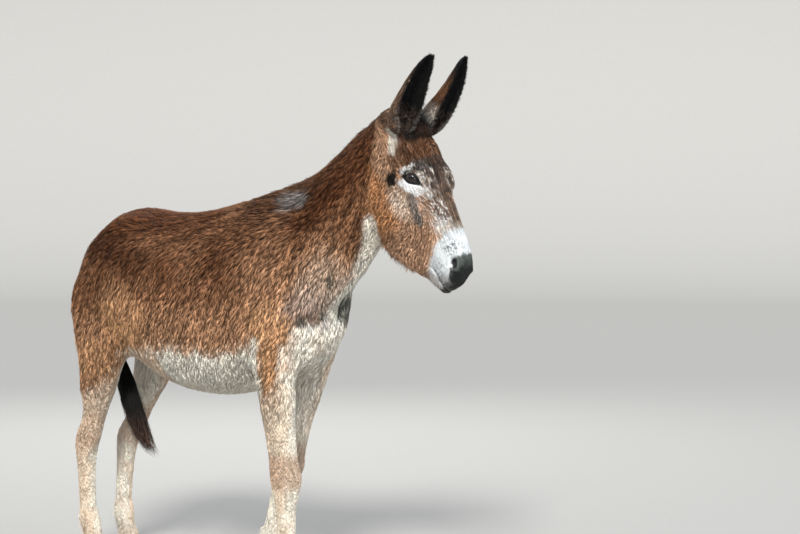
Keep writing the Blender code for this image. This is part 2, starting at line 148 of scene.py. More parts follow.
def streaks(points, flow, across, along, seed):
    """A smooth random field drawn out along a flow, with streaks of a given width and length."""
    rng = np.random.default_rng(seed)
    total = np.zeros(len(points))
    power = np.zeros(len(points))
    for _ in range(70):
        wave = unit(rng.normal(size=3)) * 2 * math.pi / (across * rng.uniform(0.7, 1.6))
        kept = np.exp(-((flow @ wave) * along / 4) ** 2)
        total += kept * np.sin(points @ wave + rng.uniform(0, 2 * math.pi))
        power += kept**2 / 2
    return total / np.sqrt(power + 0.3)


print("middle of the head:", [round(c, 3) for c in head_middle])

# %% [markdown]
# ## The skin
# One skin covers the whole animal, so no seam shows between its parts. The solids of flesh are
# swollen by less than a millimetre, so that they melt together in a voxel remesh, and the mesh is
# then relaxed, because the solids are faceted. It is the base that the coat grows from.

# %% Melt the flesh into one mesh
FLESH = ["trunk", "neck", "head", "muzzle", "tail_dock"]
EYEBALLS = [f"eye_{side}" for side in SIDES]  # their copies fill the sockets, and lids cover them later
for side in SIDES:
    FLESH += [f"ear_{side}", f"forearm_{side}", f"thigh_{side}"]
    FLESH += [f"{part}_{kind}_{side}" for part in ("shank", "pastern") for kind in ("fore", "hind")]
SWELL = 0.0008
EAR_SWELL = 0.0018  # more, because a thin edge would be ragged in the remesh
VOXEL = 0.0036
WELD = 0.00001


def only(ob):
    """Select and activate one object."""
    bpy.ops.object.select_all(action="DESELECT")
    ob.select_set(True)
    bpy.context.view_layer.objects.active = ob


@contextmanager
def editing(ob, action="SELECT"):
    """Edit mode on one object, with all of its mesh selected, or none."""
    only(ob)
    bpy.ops.object.mode_set(mode="EDIT")
    bpy.ops.mesh.select_all(action=action)
    yield
    bpy.ops.object.mode_set(mode="OBJECT")


def apply_all(ob):
    only(ob)
    for modifier in list(ob.modifiers):
        bpy.ops.object.modifier_apply(modifier=modifier.name)


copies = []
for node in FLESH + EYEBALLS:
    copy = add_object(node + "_flesh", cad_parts[node].data.copy())
    with editing(copy):
        bpy.ops.mesh.remove_doubles(threshold=WELD)
    swell = copy.modifiers.new("swell", "DISPLACE")
    swell.strength = EAR_SWELL if node.startswith("ear_") else SWELL
    swell.mid_level = 0
    apply_all(copy)
    copies.append(copy)
only(copies[0])
for copy in copies:
    copy.select_set(True)
bpy.ops.object.join()
skin = bpy.context.view_layer.objects.active
skin.name = "skin"
melt = skin.modifiers.new("melt", "REMESH")
melt.mode = "VOXEL"
melt.voxel_size = VOXEL
apply_all(skin)
print("skin melted:", len(skin.data.vertices), "points")


# %% Read and write a mesh
def read(items, field, width=3, kind=np.float32):
    """One row of numbers for each item of a mesh."""
    flat = np.empty(len(items) * width, kind)
    items.foreach_get(field, flat)
    rows = flat.reshape(-1, width)
    return rows.astype(float) if kind is np.float32 else rows


def read_points(mesh):
    return read(mesh.vertices, "co")


def read_normals(mesh):
    return read(mesh.vertex_normals, "vector")


def write_points(mesh, points):
    mesh.vertices.foreach_set("co", points.astype(np.float32).ravel())
    mesh.update()


# %% Move points towards their neighbours
PACE = 0.55  # share of the way to the middle of its neighbours that a point moves at once
REBOUND = 0.57  # share of the way back, which keeps the volume
BODY_ROUNDS = 70
FACE_ROUNDS = 12


class Relaxer:
    """Moves each point towards the middle of its neighbours, by a share of its own."""

    def __init__(self, mesh):
        self.edges = read(mesh.edges, "vertices", 2, np.int32)
        self.count = len(mesh.vertices)
        self.links = np.bincount(self.edges.ravel(), minlength=self.count)

    def middles(self, values):
        a, b = self.edges.T
        out = np.empty_like(values)
        for axis in range(values.shape[1]):
            column = values[:, axis]
            total = np.bincount(a, column[b], self.count) + np.bincount(b, column[a], self.count)
            out[:, axis] = total / np.maximum(self.links, 1)
        return out

    def relax(self, values, rounds, shares, keep_volume=True):
        shares = np.broadcast_to(shares, self.count)[:, None]
        for _ in range(rounds):
            values = values + PACE * shares * (self.middles(values) - values)
            if keep_volume:
                values = values - REBOUND * shares * (self.middles(values) - values)
        return values


# %% Where the ears stand
def ear_frames():
    """For each ear: its root, its tip, and how far its axis bows out between them."""
    frames = {}
    for side, sign in SIDES.items():
        root = from_head(-0.158, 0.030, sign * 0.074)
        tip = from_head(-0.272, 0.282, -0.100 if sign < 0 else 0.110)
        bow = (0.35 * TO_LIPS + 0.35 * TO_BROW + sign * TO_LEFT) * (0 if sign < 0 else 0.030)
        frames[side] = (root, tip, bow)
    return frames


EARS = ear_frames()


def ear_axis(side):
    root, tip, _ = EARS[side]
    return unit(tip - root)


def along_ear(points, side):
    """Share of the ear's length, and the step from the ear's own axis, for rows of points."""
    root, tip, bow = EARS[side]
    axis = tip - root
    share = (points - root) @ axis / (axis @ axis)
    centre = root + share[:, None] * axis + np.sin(math.pi * np.clip(share, 0, 1))[:, None] * bow
    return share, points - centre


def on_ear(points):
    """How much each point belongs to an ear."""
    mask = np.zeros(len(points))
    for side in SIDES:
        share, off = along_ear(points, side)
        near = step(np.linalg.norm(off, axis=1), 0.070, 0.058)
        mask = np.maximum(mask, near * step(share, -0.06, 0.10))
    return mask


# %% Relax the facets
def smooth_by(ob, shares, rounds):
    """Blender's own Smooth modifier, on the points whose share is over a half."""
    group = ob.vertex_groups.new(name="smooth")
    group.add(np.flatnonzero(shares > 0.5).tolist(), 1.0, "REPLACE")
    smooth = ob.modifiers.new("smooth", "SMOOTH")
    smooth.vertex_group = group.name
    smooth.factor = 0.5
    smooth.iterations = rounds
    apply_all(ob)
    ob.vertex_groups.clear()


relaxer = Relaxer(skin.data)
points = read_points(skin.data)
head_share = step(points[:, 0], 0.46, 0.60) * step(points[:, 2], 0.95, 1.05)
leg_share = step(points[:, 2], 0.72, 0.58)
ear_share = on_ear(points)
body_share = (1 - head_share) * (1 - leg_share) * (1 - ear_share)
points = relaxer.relax(points, 10, 1.0)
points = relaxer.relax(points, 14, 1 - ear_share)
write_points(skin.data, points)
smooth_by(skin, body_share, BODY_ROUNDS)
smooth_by(skin, np.maximum(body_share, head_share * (1 - ear_share)), FACE_ROUNDS)
print("relaxed; the head has", int((head_share > 0.5).sum()), "points")


# %% [markdown]
# ## Where the coat is deep
# The skin lies inside the outline by the depth of the coat: about as deep as a finger's width on
# the body, a few millimetres on the face and legs, and almost nothing on the muzzle.

# %% Regions of the body, and the depth of the coat
TAIL_PATH = (
    (-0.697, 0.0, 1.125), (-0.753, 0.0, 1.090), (-0.787, 0.0, 1.010), (-0.795, 0.0, 0.920),
    (-0.783, 0.0, 0.835), (-0.749, 0.0, 0.760), (-0.707, 0.0, 0.695), (-0.673, 0.003, 0.630),
    (-0.647, 0.006, 0.560), (-0.615, 0.010, 0.490), (-0.575, 0.015, 0.420), (-0.523, 0.020, 0.378),
)
DOCK_PATH = TAIL_PATH[1:6]
SWITCH_PATH = TAIL_PATH[4:]


def in_front_of_throat(points):
    """How much each point belongs to the head."""
    s, b, _ = in_head(points).T
    ahead = (s + 0.105) * 0.682 + (b + 0.115) * 0.731
    return step(ahead, -0.025, 0.025) * step(points[:, 0], 0.36, 0.44)


def on_tail(points):
    """How much each point belongs to the dock."""
    return step(path_distance(points, DOCK_PATH), 0.040, 0.030) * step(points[:, 0], -0.760, -0.780)


def coat_depth(points):
    s, b, _ = in_head(points).T
    z = points[:, 2]
    head = in_front_of_throat(points)
    ears = on_ear(points)
    depth = 0.013 + 0.002 * step(z, 0.80, 0.70) * step(z, 0.60, 0.66)
    depth = depth - 0.007 * step(z, 0.80, 0.55) - 0.002 * step(z, 0.52, 0.40)
    face = 0.0065 + 0.003 * bump(np.hypot(s + 0.10, b - 0.07) / 0.10)
    face = face + 0.002 * step(b, -0.10, -0.18) - 0.0035 * step(s, 0.05, 0.16) * step(b, -0.12, -0.05)
    face = face - 0.004 * step(s, 0.17, 0.24)
    face = np.maximum(face, 0.0006)
    depth = depth * (1 - head) + face * head
    depth = depth * (1 - ears) + 0.0020 * ears
    eye = np.hypot(s - 0.006, b - 0.006) / 0.040
    return depth * (1 - 0.9 * head * bump(eye))


# %% Sink the skin below the coat
points = read_points(skin.data)
normals = read_normals(skin.data)
depths = coat_depth(points)[:, None]
points = points - normals * relaxer.relax(depths, 3, 1.0, keep_volume=False)
points = relaxer.relax(points, 2, 1 - ear_share)
write_points(skin.data, points)
print("the coat is", round(depths.min() * 1000, 1), "to", round(depths.max() * 1000, 1), "mm deep")

# %% [markdown]
# ## Eyelids, nostrils, lips and folds
# The skin gets finer points round the eyes and on the muzzle. Each lid is then drawn over its
# eyeball as a rim with a pointed almond opening. The nostrils are comma-shaped hollows with a
# raised wing, and the mouth is a groove that ends in a small dimple.

# %% Thin the skin where it is plain, then give it finer points where the detail is
SKIN_TRIANGLES = 100_000
thin = skin.modifiers.new("thin", "DECIMATE")
thin.ratio = SKIN_TRIANGLES / (2 * len(skin.data.polygons))
thin.use_collapse_triangulate = True
apply_all(skin)
print("skin thinned:", len(skin.data.polygons), "triangles")
EYE_RADIUS = 0.0245
EYES = {}
for side, sign in SIDES.items():
    outward = Vector(0.127 * TO_LIPS + 0.16 * TO_BROW + sign * 0.98 * TO_LEFT).normalized()
    along = Vector(0.80 * TO_LIPS + 0.60 * TO_BROW)
    along = (along - outward * along.dot(outward)).normalized()
    lift = outward.cross(along) * -sign
    EYES[side] = tuple(np.array(v) for v in (middle_of(f"eye_{side}"), along, lift, outward))


def refine(ob, chosen):
    """Divide the chosen faces once, in edit mode."""
    with editing(ob, "DESELECT"):
        bpy.ops.mesh.select_mode(type="FACE")
    ob.data.polygons.foreach_set("select", chosen)
    bpy.ops.object.mode_set(mode="EDIT")
    bpy.ops.mesh.subdivide(number_cuts=1, smoothness=0, quadcorner="INNERVERT")
    bpy.ops.object.mode_set(mode="OBJECT")


MUZZLE_START = 0.240
NOWHERE = 9.0  # past the lips
for reach, muzzle_start in ((0.044, MUZZLE_START), (0.033, NOWHERE), (0.028, NOWHERE)):
    centres = read(skin.data.polygons, "center")
    chosen = in_head(centres)[:, 0] > muzzle_start
    for eye, _, _, _ in EYES.values():
        chosen |= np.linalg.norm(centres - eye, axis=1) < reach
    refine(skin, chosen)
print("skin refined:", len(skin.data.vertices), "points")


# %% Draw the lids over the eyes
LID = 0.0021  # thickness of the lid's rim
FRONT_CORNER = 0.0255  # how far the corners lie from the middle of the eye
BACK_CORNER = 0.0205
UPPER_RISE = 0.0128
LOWER_RISE = 0.0100


def eye_opening(points, side):
    """Below 0 inside the opening of the lids, 0 on their rim, and above 0 outside it."""
    eye, along, lift, outward = EYES[side]
    away = points - eye
    a = away @ along
    a = np.where(a > 0, a / FRONT_CORNER, -a / BACK_CORNER)
    rise = away @ lift + 0.16 * np.maximum(away @ along, 0)
    v = np.where(rise > 0, rise / UPPER_RISE, -rise / LOWER_RISE)
    opening = (a**1.6 + v**1.6) ** (1 / 1.6) - 1
    return np.where(away @ outward > 0, opening, 9.0), away, rise


def draw_lids(points):
    for side in SIDES:
        outward = EYES[side][3]
        _, away, _ = eye_opening(points, side)
        far = np.linalg.norm(away, axis=1)
        close = step(far, 0.070, 0.060)
        across = np.linalg.norm(away - (away @ outward)[:, None] * outward, axis=1)
        mound = 0.0030 * step(across, 0.060, 0.030) * close
        points = points + outward * (mound * (away @ outward > 0))[:, None]
        opening, away, rise = eye_opening(points, side)
        heading = unit(away)
        rim = EYE_RADIUS + LID * (0.55 + 0.45 * step(opening, 0.05, 0.30))
        ball = np.where(opening < 0, EYE_RADIUS - 0.0045 * step(opening, 0.0, -0.12), rim)
        hold = step(opening, 0.95, 0.25) * close
        points = points + (heading * ball[:, None] - away) * hold[:, None]
        crease = bump(np.abs(opening - 0.62) / 0.24) * step(rise, 0.002, 0.008) * close
        brow = bump(np.abs(opening - 1.30) / 0.55) * step(rise, 0.002, 0.010) * close
        under = bump(np.abs(opening - 0.75) / 0.22) * step(rise, -0.002, -0.007) * close
        points = points + outward * (0.0030 * brow - 0.0022 * crease - 0.0012 * under)[:, None]
    return points


# %% Nostrils and mouth
NOSTRIL = (0.297, -0.030)  # towards the lips, and out through the forehead
MOUTH_CORNER = (0.264, -0.112)


def nostril_distance(points):
    """Distance from the nostril's long middle line, as a share of its half width."""
    s, b, _ = in_head(points).T
    s, b = s - NOSTRIL[0], b - NOSTRIL[1]
    tilt = math.radians(-24)
    length = s * math.cos(tilt) + b * math.sin(tilt)
    width = -s * math.sin(tilt) + b * math.cos(tilt) - 12 * (length**2)
    return np.hypot(length / 0.0205, width / 0.0120)


def mouth_distance(points):
    """Distance from the line between the lips, and how far along it a point lies."""
    s, b, _ = in_head(points).T
    t = np.clip((s - MOUTH_CORNER[0]) / 0.09, 0, 1)
    line = MOUTH_CORNER[1] + 0.006 * np.sin(math.pi * t) - 0.002 * t
    return np.hypot(b - line, np.minimum(s - MOUTH_CORNER[0], 0)), t


# %% Bones and hollows of the face
def shape_face(points, normals):
    s, b, side = in_head(points).T
    head = in_front_of_throat(points)
    out = np.zeros(len(points))
    outer = step(np.abs(side), 0.018, 0.030)
    hole = nostril_distance(points)
    out -= 0.011 * bump(hole / 1.05) * outer
    out += 0.0030 * bump(np.abs(hole - 1.45) / 0.75) * outer
    gap, t = mouth_distance(points)
    out -= 0.0060 * bump(gap / 0.0050) * step(t, -0.02, 0.10)
    out += 0.0018 * bump(np.abs(gap - 0.009) / 0.006) * step(t, 0.05, 0.3)
    crest_line = 0.020 - 0.20 * (s - 0.05)
    crest = bump(np.abs(b - crest_line + 0.045) / 0.022) * step(s, 0.03, 0.07) * step(s, 0.20, 0.12)
    out += 0.0040 * crest * outer
    below = bump(np.abs(b - crest_line + 0.085) / 0.022) * step(s, 0.07, 0.12) * step(s, 0.24, 0.16)
    out -= 0.0040 * below * outer
    out -= 0.0050 * bump(np.hypot((s + 0.050) / 0.030, (b - 0.012) / 0.022)) * outer
    out += 0.0030 * bump(np.hypot((s - 0.03) / 0.07, (b + 0.14) / 0.07)) * outer
    out -= 0.007 * bump(np.hypot((s - 0.275) / 0.040, (b + 0.152) / 0.034))
    return points + normals * (out * head)[:, None]


# %% Folds and points of bone on the body
CHEST_FOLD = (
    (0.405, 0.055, 1.045), (0.386, 0.043, 0.996), (0.372, 0.038, 0.969), (0.359, 0.036, 0.936),
    (0.355, 0.044, 0.906), (0.350, 0.067, 0.895), (0.346, 0.095, 0.899), (0.334, 0.132, 0.910),
)
SHOULDER_POINTS = ((0.350, 0.085, 0.945), (0.345, 0.095, 0.965))
HIP_POINTS = ((-0.500, 0.110, 1.215), (-0.520, 0.120, 1.205))
FLANK_FOLD = ((-0.360, 0.232, 0.870), (-0.420, 0.222, 0.825), (-0.470, 0.200, 0.785))
ELBOW_FOLD = ((0.150, 0.212, 0.900), (0.175, 0.208, 0.840), (0.215, 0.196, 0.775))
BODY_RELIEF = (
    (CHEST_FOLD, -0.014, 0.032),
    (SHOULDER_POINTS, 0.008, 0.055),
    (HIP_POINTS, 0.012, 0.055),
    (FLANK_FOLD, -0.007, 0.034),
    (ELBOW_FOLD, -0.006, 0.030),
)  # each with its height, and how far it reaches


def shape_body(points, normals):
    """Folds and points of bone, the same on both sides of the body."""
    mirrored = np.column_stack((points[:, 0], np.abs(points[:, 1]), points[:, 2]))
    out = sum(height * bump(path_distance(mirrored, path) / reach)
              for path, height, reach in BODY_RELIEF)
    return points + normals * out[:, None]


# %% Shape the skin
points = read_points(skin.data)
normals = read_normals(skin.data)
points = shape_body(points, normals)
points = shape_face(points, normals)
relaxer = Relaxer(skin.data)
face_share = in_front_of_throat(points)
points = relaxer.relax(points, 2, face_share * (1 - on_ear(points)))
points = draw_lids(points)
write_points(skin.data, points)

skin.data.shade_smooth()
print("skin:", len(skin.data.polygons), "triangles")


# %% [markdown]
# ## An unwrap to carry colours
# To carry the coat's colours on a flat map, each tuft needs a small patch of one. The skin is
# cut along its own folds and laid flat once, and each tuft then borrows the place of its root.

# %% Unwrap the skin
MAP_NAME = "OFBake"
ISLAND_ANGLE = math.radians(75)
ISLAND_GAP = 0.003
skin.data.uv_layers.new(name=MAP_NAME)
with editing(skin):
    bpy.ops.mesh.quads_convert_to_tris()
    bpy.ops.uv.smart_project(angle_limit=ISLAND_ANGLE, island_margin=ISLAND_GAP)
print("unwrapped:", len(skin.data.polygons), "triangles")

# %% [markdown]
# ## Markings
# A bay donkey with the pale points of its kind: rust and brown above, cream below and inside the
# legs, a white muzzle with a charcoal nose, a pale ring round each eye, and ears that are black
# inside. One function gives the colour at any point, and both the skin and the coat ask it, so
# they always agree. Edges are made ragged by shifting each point a little before it is asked.

# %% Colours of the coat
RUST = (0.095, 0.035, 0.014)
DARK_RUST = (0.075, 0.029, 0.013)
BROWN = (0.243, 0.118, 0.061)
TAN = (0.440, 0.245, 0.138)
GINGER = (0.660, 0.380, 0.200)
AMBER = (0.420, 0.205, 0.095)
FAWN = (0.640, 0.430, 0.300)
PEACH = (0.860, 0.720, 0.570)
CREAM = (0.900, 0.860, 0.760)
WHITE = (0.780, 0.800, 0.810)
SNOW = (0.550, 0.580, 0.600)
ASH = (0.430, 0.365, 0.305)
GREY = (0.220, 0.205, 0.195)
MAUVE = (0.400, 0.310, 0.260)
DUN = (0.660, 0.500, 0.380)
OAT = (0.700, 0.600, 0.500)
TAUPE = (0.360, 0.270, 0.190)
CHEEK = (0.400, 0.240, 0.150)
UMBER = (0.085, 0.042, 0.023)
SOOT = (0.070, 0.050, 0.040)
# painted shade, not a colour of the hair: it darkens the fold of the chest and its far side
PAINTED_SHADE = (0.090, 0.095, 0.080)
SLATE = (0.062, 0.072, 0.066)
BLACK = (0.005, 0.005, 0.005)
CHARCOAL = (0.008, 0.009, 0.0085)


def mix(colour, patch, share):
    """Lay a patch of one colour over the others."""
    return colour + (np.array(patch) - colour) * np.clip(share, 0, 1)[:, None]


def oval(a, b, centre, radii, soft=0.45):
    """1 inside an oval and 0 outside it, with a soft edge."""
    reach = np.hypot((a - centre[0]) / radii[0], (b - centre[1]) / radii[1])
    return step(reach, 1 + soft, 1 - soft)


def lay(colour, *patches):
    """Lay patches over each other in turn, each with a colour and a share."""
    for patch, share in patches:
        colour = mix(colour, patch, share)
    return colour


def plain(colour, points):
    """One colour for every point."""
    return np.tile(colour, (len(points), 1))


def ragged(points, size, seed):
    """The points, each shifted a little, so that the edges of patches are ragged."""
    shift = [wobble(points, size * 4, seed + axis) + 0.6 * wobble(points, size * 1.5, seed + 3 + axis)
             for axis in range(3)]
    return points + size * 0.5 * np.column_stack(shift)

# %% Markings of the body, with painted shade on the chest
BELLY = (
    (-0.56, 0.700), (-0.47, 0.785), (-0.42, 0.795), (-0.38, 0.775), (-0.30, 0.787), (-0.22, 0.798),
    (-0.16, 0.805), (-0.08, 0.797), (0.00, 0.787), (0.08, 0.805), (0.16, 0.826), (0.21, 0.852),
    (0.26, 0.872),
)
NECK_BEND = math.tan(math.radians(9))
NECK_FRONT = (
    (0.560, 1.260), (0.513, 1.177), (0.468, 1.105), (0.428, 1.046), (0.395, 0.979), (0.362, 0.925),
)
NECK_STRIP = [(x, (x - 0.153) * NECK_BEND, z) for x, z in NECK_FRONT]


def level_of(values, line):
    """The height of a line, given as pairs, at each value."""
    return np.interp(values, *np.array(line).T)


def body_markings_and_shade(points):
    x, y, z = ragged(points, 0.016, 10).T
    y = np.abs(y)

    def blot(centre, radii, soft=0.45):
        return oval(x, z, centre, radii, soft)

    warm = 0.5 + 0.5 * wobble(points, 0.16, 20)
    colour = lay(
        plain(BROWN, points),
        (RUST, 0.75 * warm * step(z, 0.96, 1.10)),
        (TAN, step(z, 1.00, 0.86) * step(x, -0.50, -0.30) * step(x, 0.25, 0.10)),
        (DARK_RUST, 0.75 * blot((-0.52, 1.09), (0.20, 0.15)) * (0.5 + 0.5 * warm)),
        (RUST, 0.8 * blot((-0.46, 1.25), (0.30, 0.07))),
        (GINGER, 0.80 * blot((-0.43, 0.88), (0.13, 0.11), 0.6)),
        (RUST, 0.55 * step(x, -0.66, -0.74) * step(z, 0.85, 1.0)),
        (TAN, 0.80 * step(z, 0.92, 0.84) * step(x, -0.50, -0.56)),
        (GINGER, 0.55 * step(z, 0.84, 0.74) * step(x, -0.50, -0.56)),
        (TAN, 0.75 * blot((0.25, 1.00), (0.12, 0.16), 0.6)),
        (GINGER, 0.60 * blot((0.24, 0.88), (0.08, 0.09), 0.6)),
        (TAN, step(z, 0.72, 0.64) * step(x, -0.45, -0.52)),
    )
    neck = step(x + 0.30 * (z - 1.10), 0.22, 0.36)
    above_neck = (z - 1.080) * 0.74 - (x - 0.153) * 0.67
    strip = path_distance(points, NECK_STRIP) - 0.020 * step(z, 1.10, 1.00)
    colour = lay(
        colour,
        (RUST, 0.85 * neck),
        (UMBER, 0.70 * neck * step(above_neck, 0.02, 0.12)),
        (BROWN, 0.80 * neck * step(above_neck, 0.00, -0.08)),
        (TAN, 0.80 * blot((0.395, 1.085), (0.075, 0.100), 0.7)),
        (UMBER, 0.75 * blot((0.16, 1.29), (0.14, 0.08), 0.6)),
        (GREY, 0.85 * blot((0.245, 1.300), (0.050, 0.030), 0.5) * step(y, 0.015, 0.035)),
        (DUN, 0.70 * blot((0.385, 1.040), (0.060, 0.085), 0.7)),
        (MAUVE, 0.75 * blot((0.335, 0.965), (0.045, 0.060), 0.8)),
        (ASH, 0.50 * step(strip, 0.075, 0.045)),
        (CREAM, 0.95 * step(strip, 0.042, 0.016)),
    )
    belly = z - level_of(x, BELLY)
    under = step(x, -0.54, -0.49) * np.maximum(step(x, 0.225, 0.195), step(y, 0.140, 0.110))
    fold = path_distance(np.column_stack((x, y, z)), CHEST_FOLD)
    return lay(
        colour,
        (FAWN, 0.6 * step(belly, 0.040, 0.010) * step(x, -0.42, -0.34) * step(x, 0.22, 0.16)),
        (CREAM, step(belly, 0.012, -0.014) * under),
        (CREAM, step(z, 0.915, 0.860) * step(x, 0.295, 0.330)),
        (WHITE, 0.7 * oval(y, z, (0.035, 0.850), (0.075, 0.055), 0.5) * step(x, 0.25, 0.30)),
        # painted shade in the fold of the chest on both sides, and a painted shadow over the far side of
        # the chest alone
        (PAINTED_SHADE, 0.85 * step(fold, 0.026, 0.006)),
        (PAINTED_SHADE, 0.85 * step(points[:, 1], 0.028, 0.045) * blot((0.360, 0.945), (0.060, 0.060), 0.5)),
    )


# %% Markings of the legs
FORELEG_TOP = ((0.200, 0.670), (0.245, 0.700), (0.270, 0.815), (0.308, 0.870), (0.335, 0.890))
HIND_TOP = (
    (-0.690, 0.615), (-0.640, 0.640), (-0.600, 0.668), (-0.567, 0.696), (-0.530, 0.731),
    (-0.504, 0.760), (-0.472, 0.787),
)


def leg_markings(points, colour):
    x, y, z = ragged(points, 0.012, 40).T
    fore = x > -0.25
    inner = step(np.abs(y), 0.135, 0.105)
    swung = np.where(y < 0, -0.044 * (0.95 - z), 0.035 + 0.277 * (1.0 - z))
    level = x + swung * step(z, 1.0, 0.9)
    top_fore = np.maximum(level_of(level, FORELEG_TOP), 0.84 * inner)
    top = np.where(fore, top_fore, level_of(x, HIND_TOP) + 0.14 * inner)
    pale = step(z, top + 0.020, top - 0.020)[:, None]
    legs = lay(
        plain(PEACH, points),
        (CREAM, 0.9 * np.maximum(step(x, 0.26, 0.30), inner)),
        (FAWN, 0.20 * np.clip(wobble(points, 0.10, 45) + 0.1, 0, 1)),
        (FAWN, 0.45 * step(z, top - 0.09, top - 0.01) * (1 - inner)),
    )
    knee = oval(x * 0, z, (0.0, 0.415), (1.0, 0.055), 0.5) * fore
    return lay(
        colour * (1 - pale) + legs * pale,
        (GINGER, 0.80 * oval(level, z, (0.222, 0.765), (0.034, 0.075)) * fore * (1 - inner)),
        (FAWN, 0.70 * knee),
        (TAUPE, 0.35 * knee * step(level, 0.225, 0.265)),
        (FAWN, 0.45 * oval(x * 0, z, (0.0, 0.475), (1.0, 0.07), 0.5) * ~fore),
        (TAN, 0.35 * step(wobble(points, 0.022, 48), 0.45, 0.9) * ~fore * step(z, 0.70, 0.62)),
        (TAUPE, 0.45 * step(z, 0.145, 0.080)),
    )


# %% Lines and places on the head
MUZZLE_EDGE = (
    (-0.155, 0.290), (-0.120, 0.258), (-0.098, 0.238), (-0.045, 0.213), (-0.003, 0.199), (0.019, 0.201),
)
NOSE_EDGE = (
    (-0.110, 0.341), (-0.075, 0.325), (-0.049, 0.310), (-0.025, 0.281), (0.003, 0.282), (0.030, 0.276),
)
THROAT = ((0.030, -0.215), (0.062, -0.245), (0.096, -0.280), (0.127, -0.352))
ABOVE_EYE = ((-0.034, -0.012), (-0.031, 0.010), (-0.028, 0.026))
BEFORE_EYE = ((0.006, 0.040), (0.028, 0.036), (0.052, 0.024), (0.072, 0.016))
BROW_LINE = ((-0.040, 0.036), (-0.036, 0.052), (-0.034, 0.070))
NOSE_DARK = ((-0.012, 0.064), (0.030, 0.056), (0.062, 0.053), (0.100, 0.050))
NOSE_SIDE = ((0.062, 0.034), (0.105, 0.026), (0.153, 0.016), (0.178, 0.004))
BLOTCH = ((0.050, -0.030), (0.087, -0.043), (0.126, -0.058))
EAR_TUFT = ((-0.172, 0.022), (-0.140, 0.008), (-0.116, -0.010))
EYE_SLOPE = math.radians(35)


def stroke(s, b, path, reach, core):
    """1 along a path over the side of the head, out to its core, falling to 0 at its reach."""
    return step(path_distance(np.column_stack((s, b)), path), reach, core)


def along_eye(s, b):
    """Distances along and above the sloping line of the eye, from its middle."""
    s, b = s - 0.008, b - 0.001
    slope = (math.cos(EYE_SLOPE), math.sin(EYE_SLOPE))
    return s * slope[0] + b * slope[1], b * slope[0] - s * slope[1]


def eye_rims(points):
    """1 in the black almond of bare skin round each eye, pointed at both its corners."""
    s, b, side = in_head(points).T
    ahead, above = along_eye(s, b)
    along = np.where(ahead > -0.008, (ahead + 0.008) / 0.048, -(ahead + 0.008) / 0.031)
    across = np.where(above > 0, above / 0.0195, -above / 0.0135)
    return step(along**1.35 + across**1.35, 1.10, 0.92) * step(np.abs(side), 0.030, 0.045)


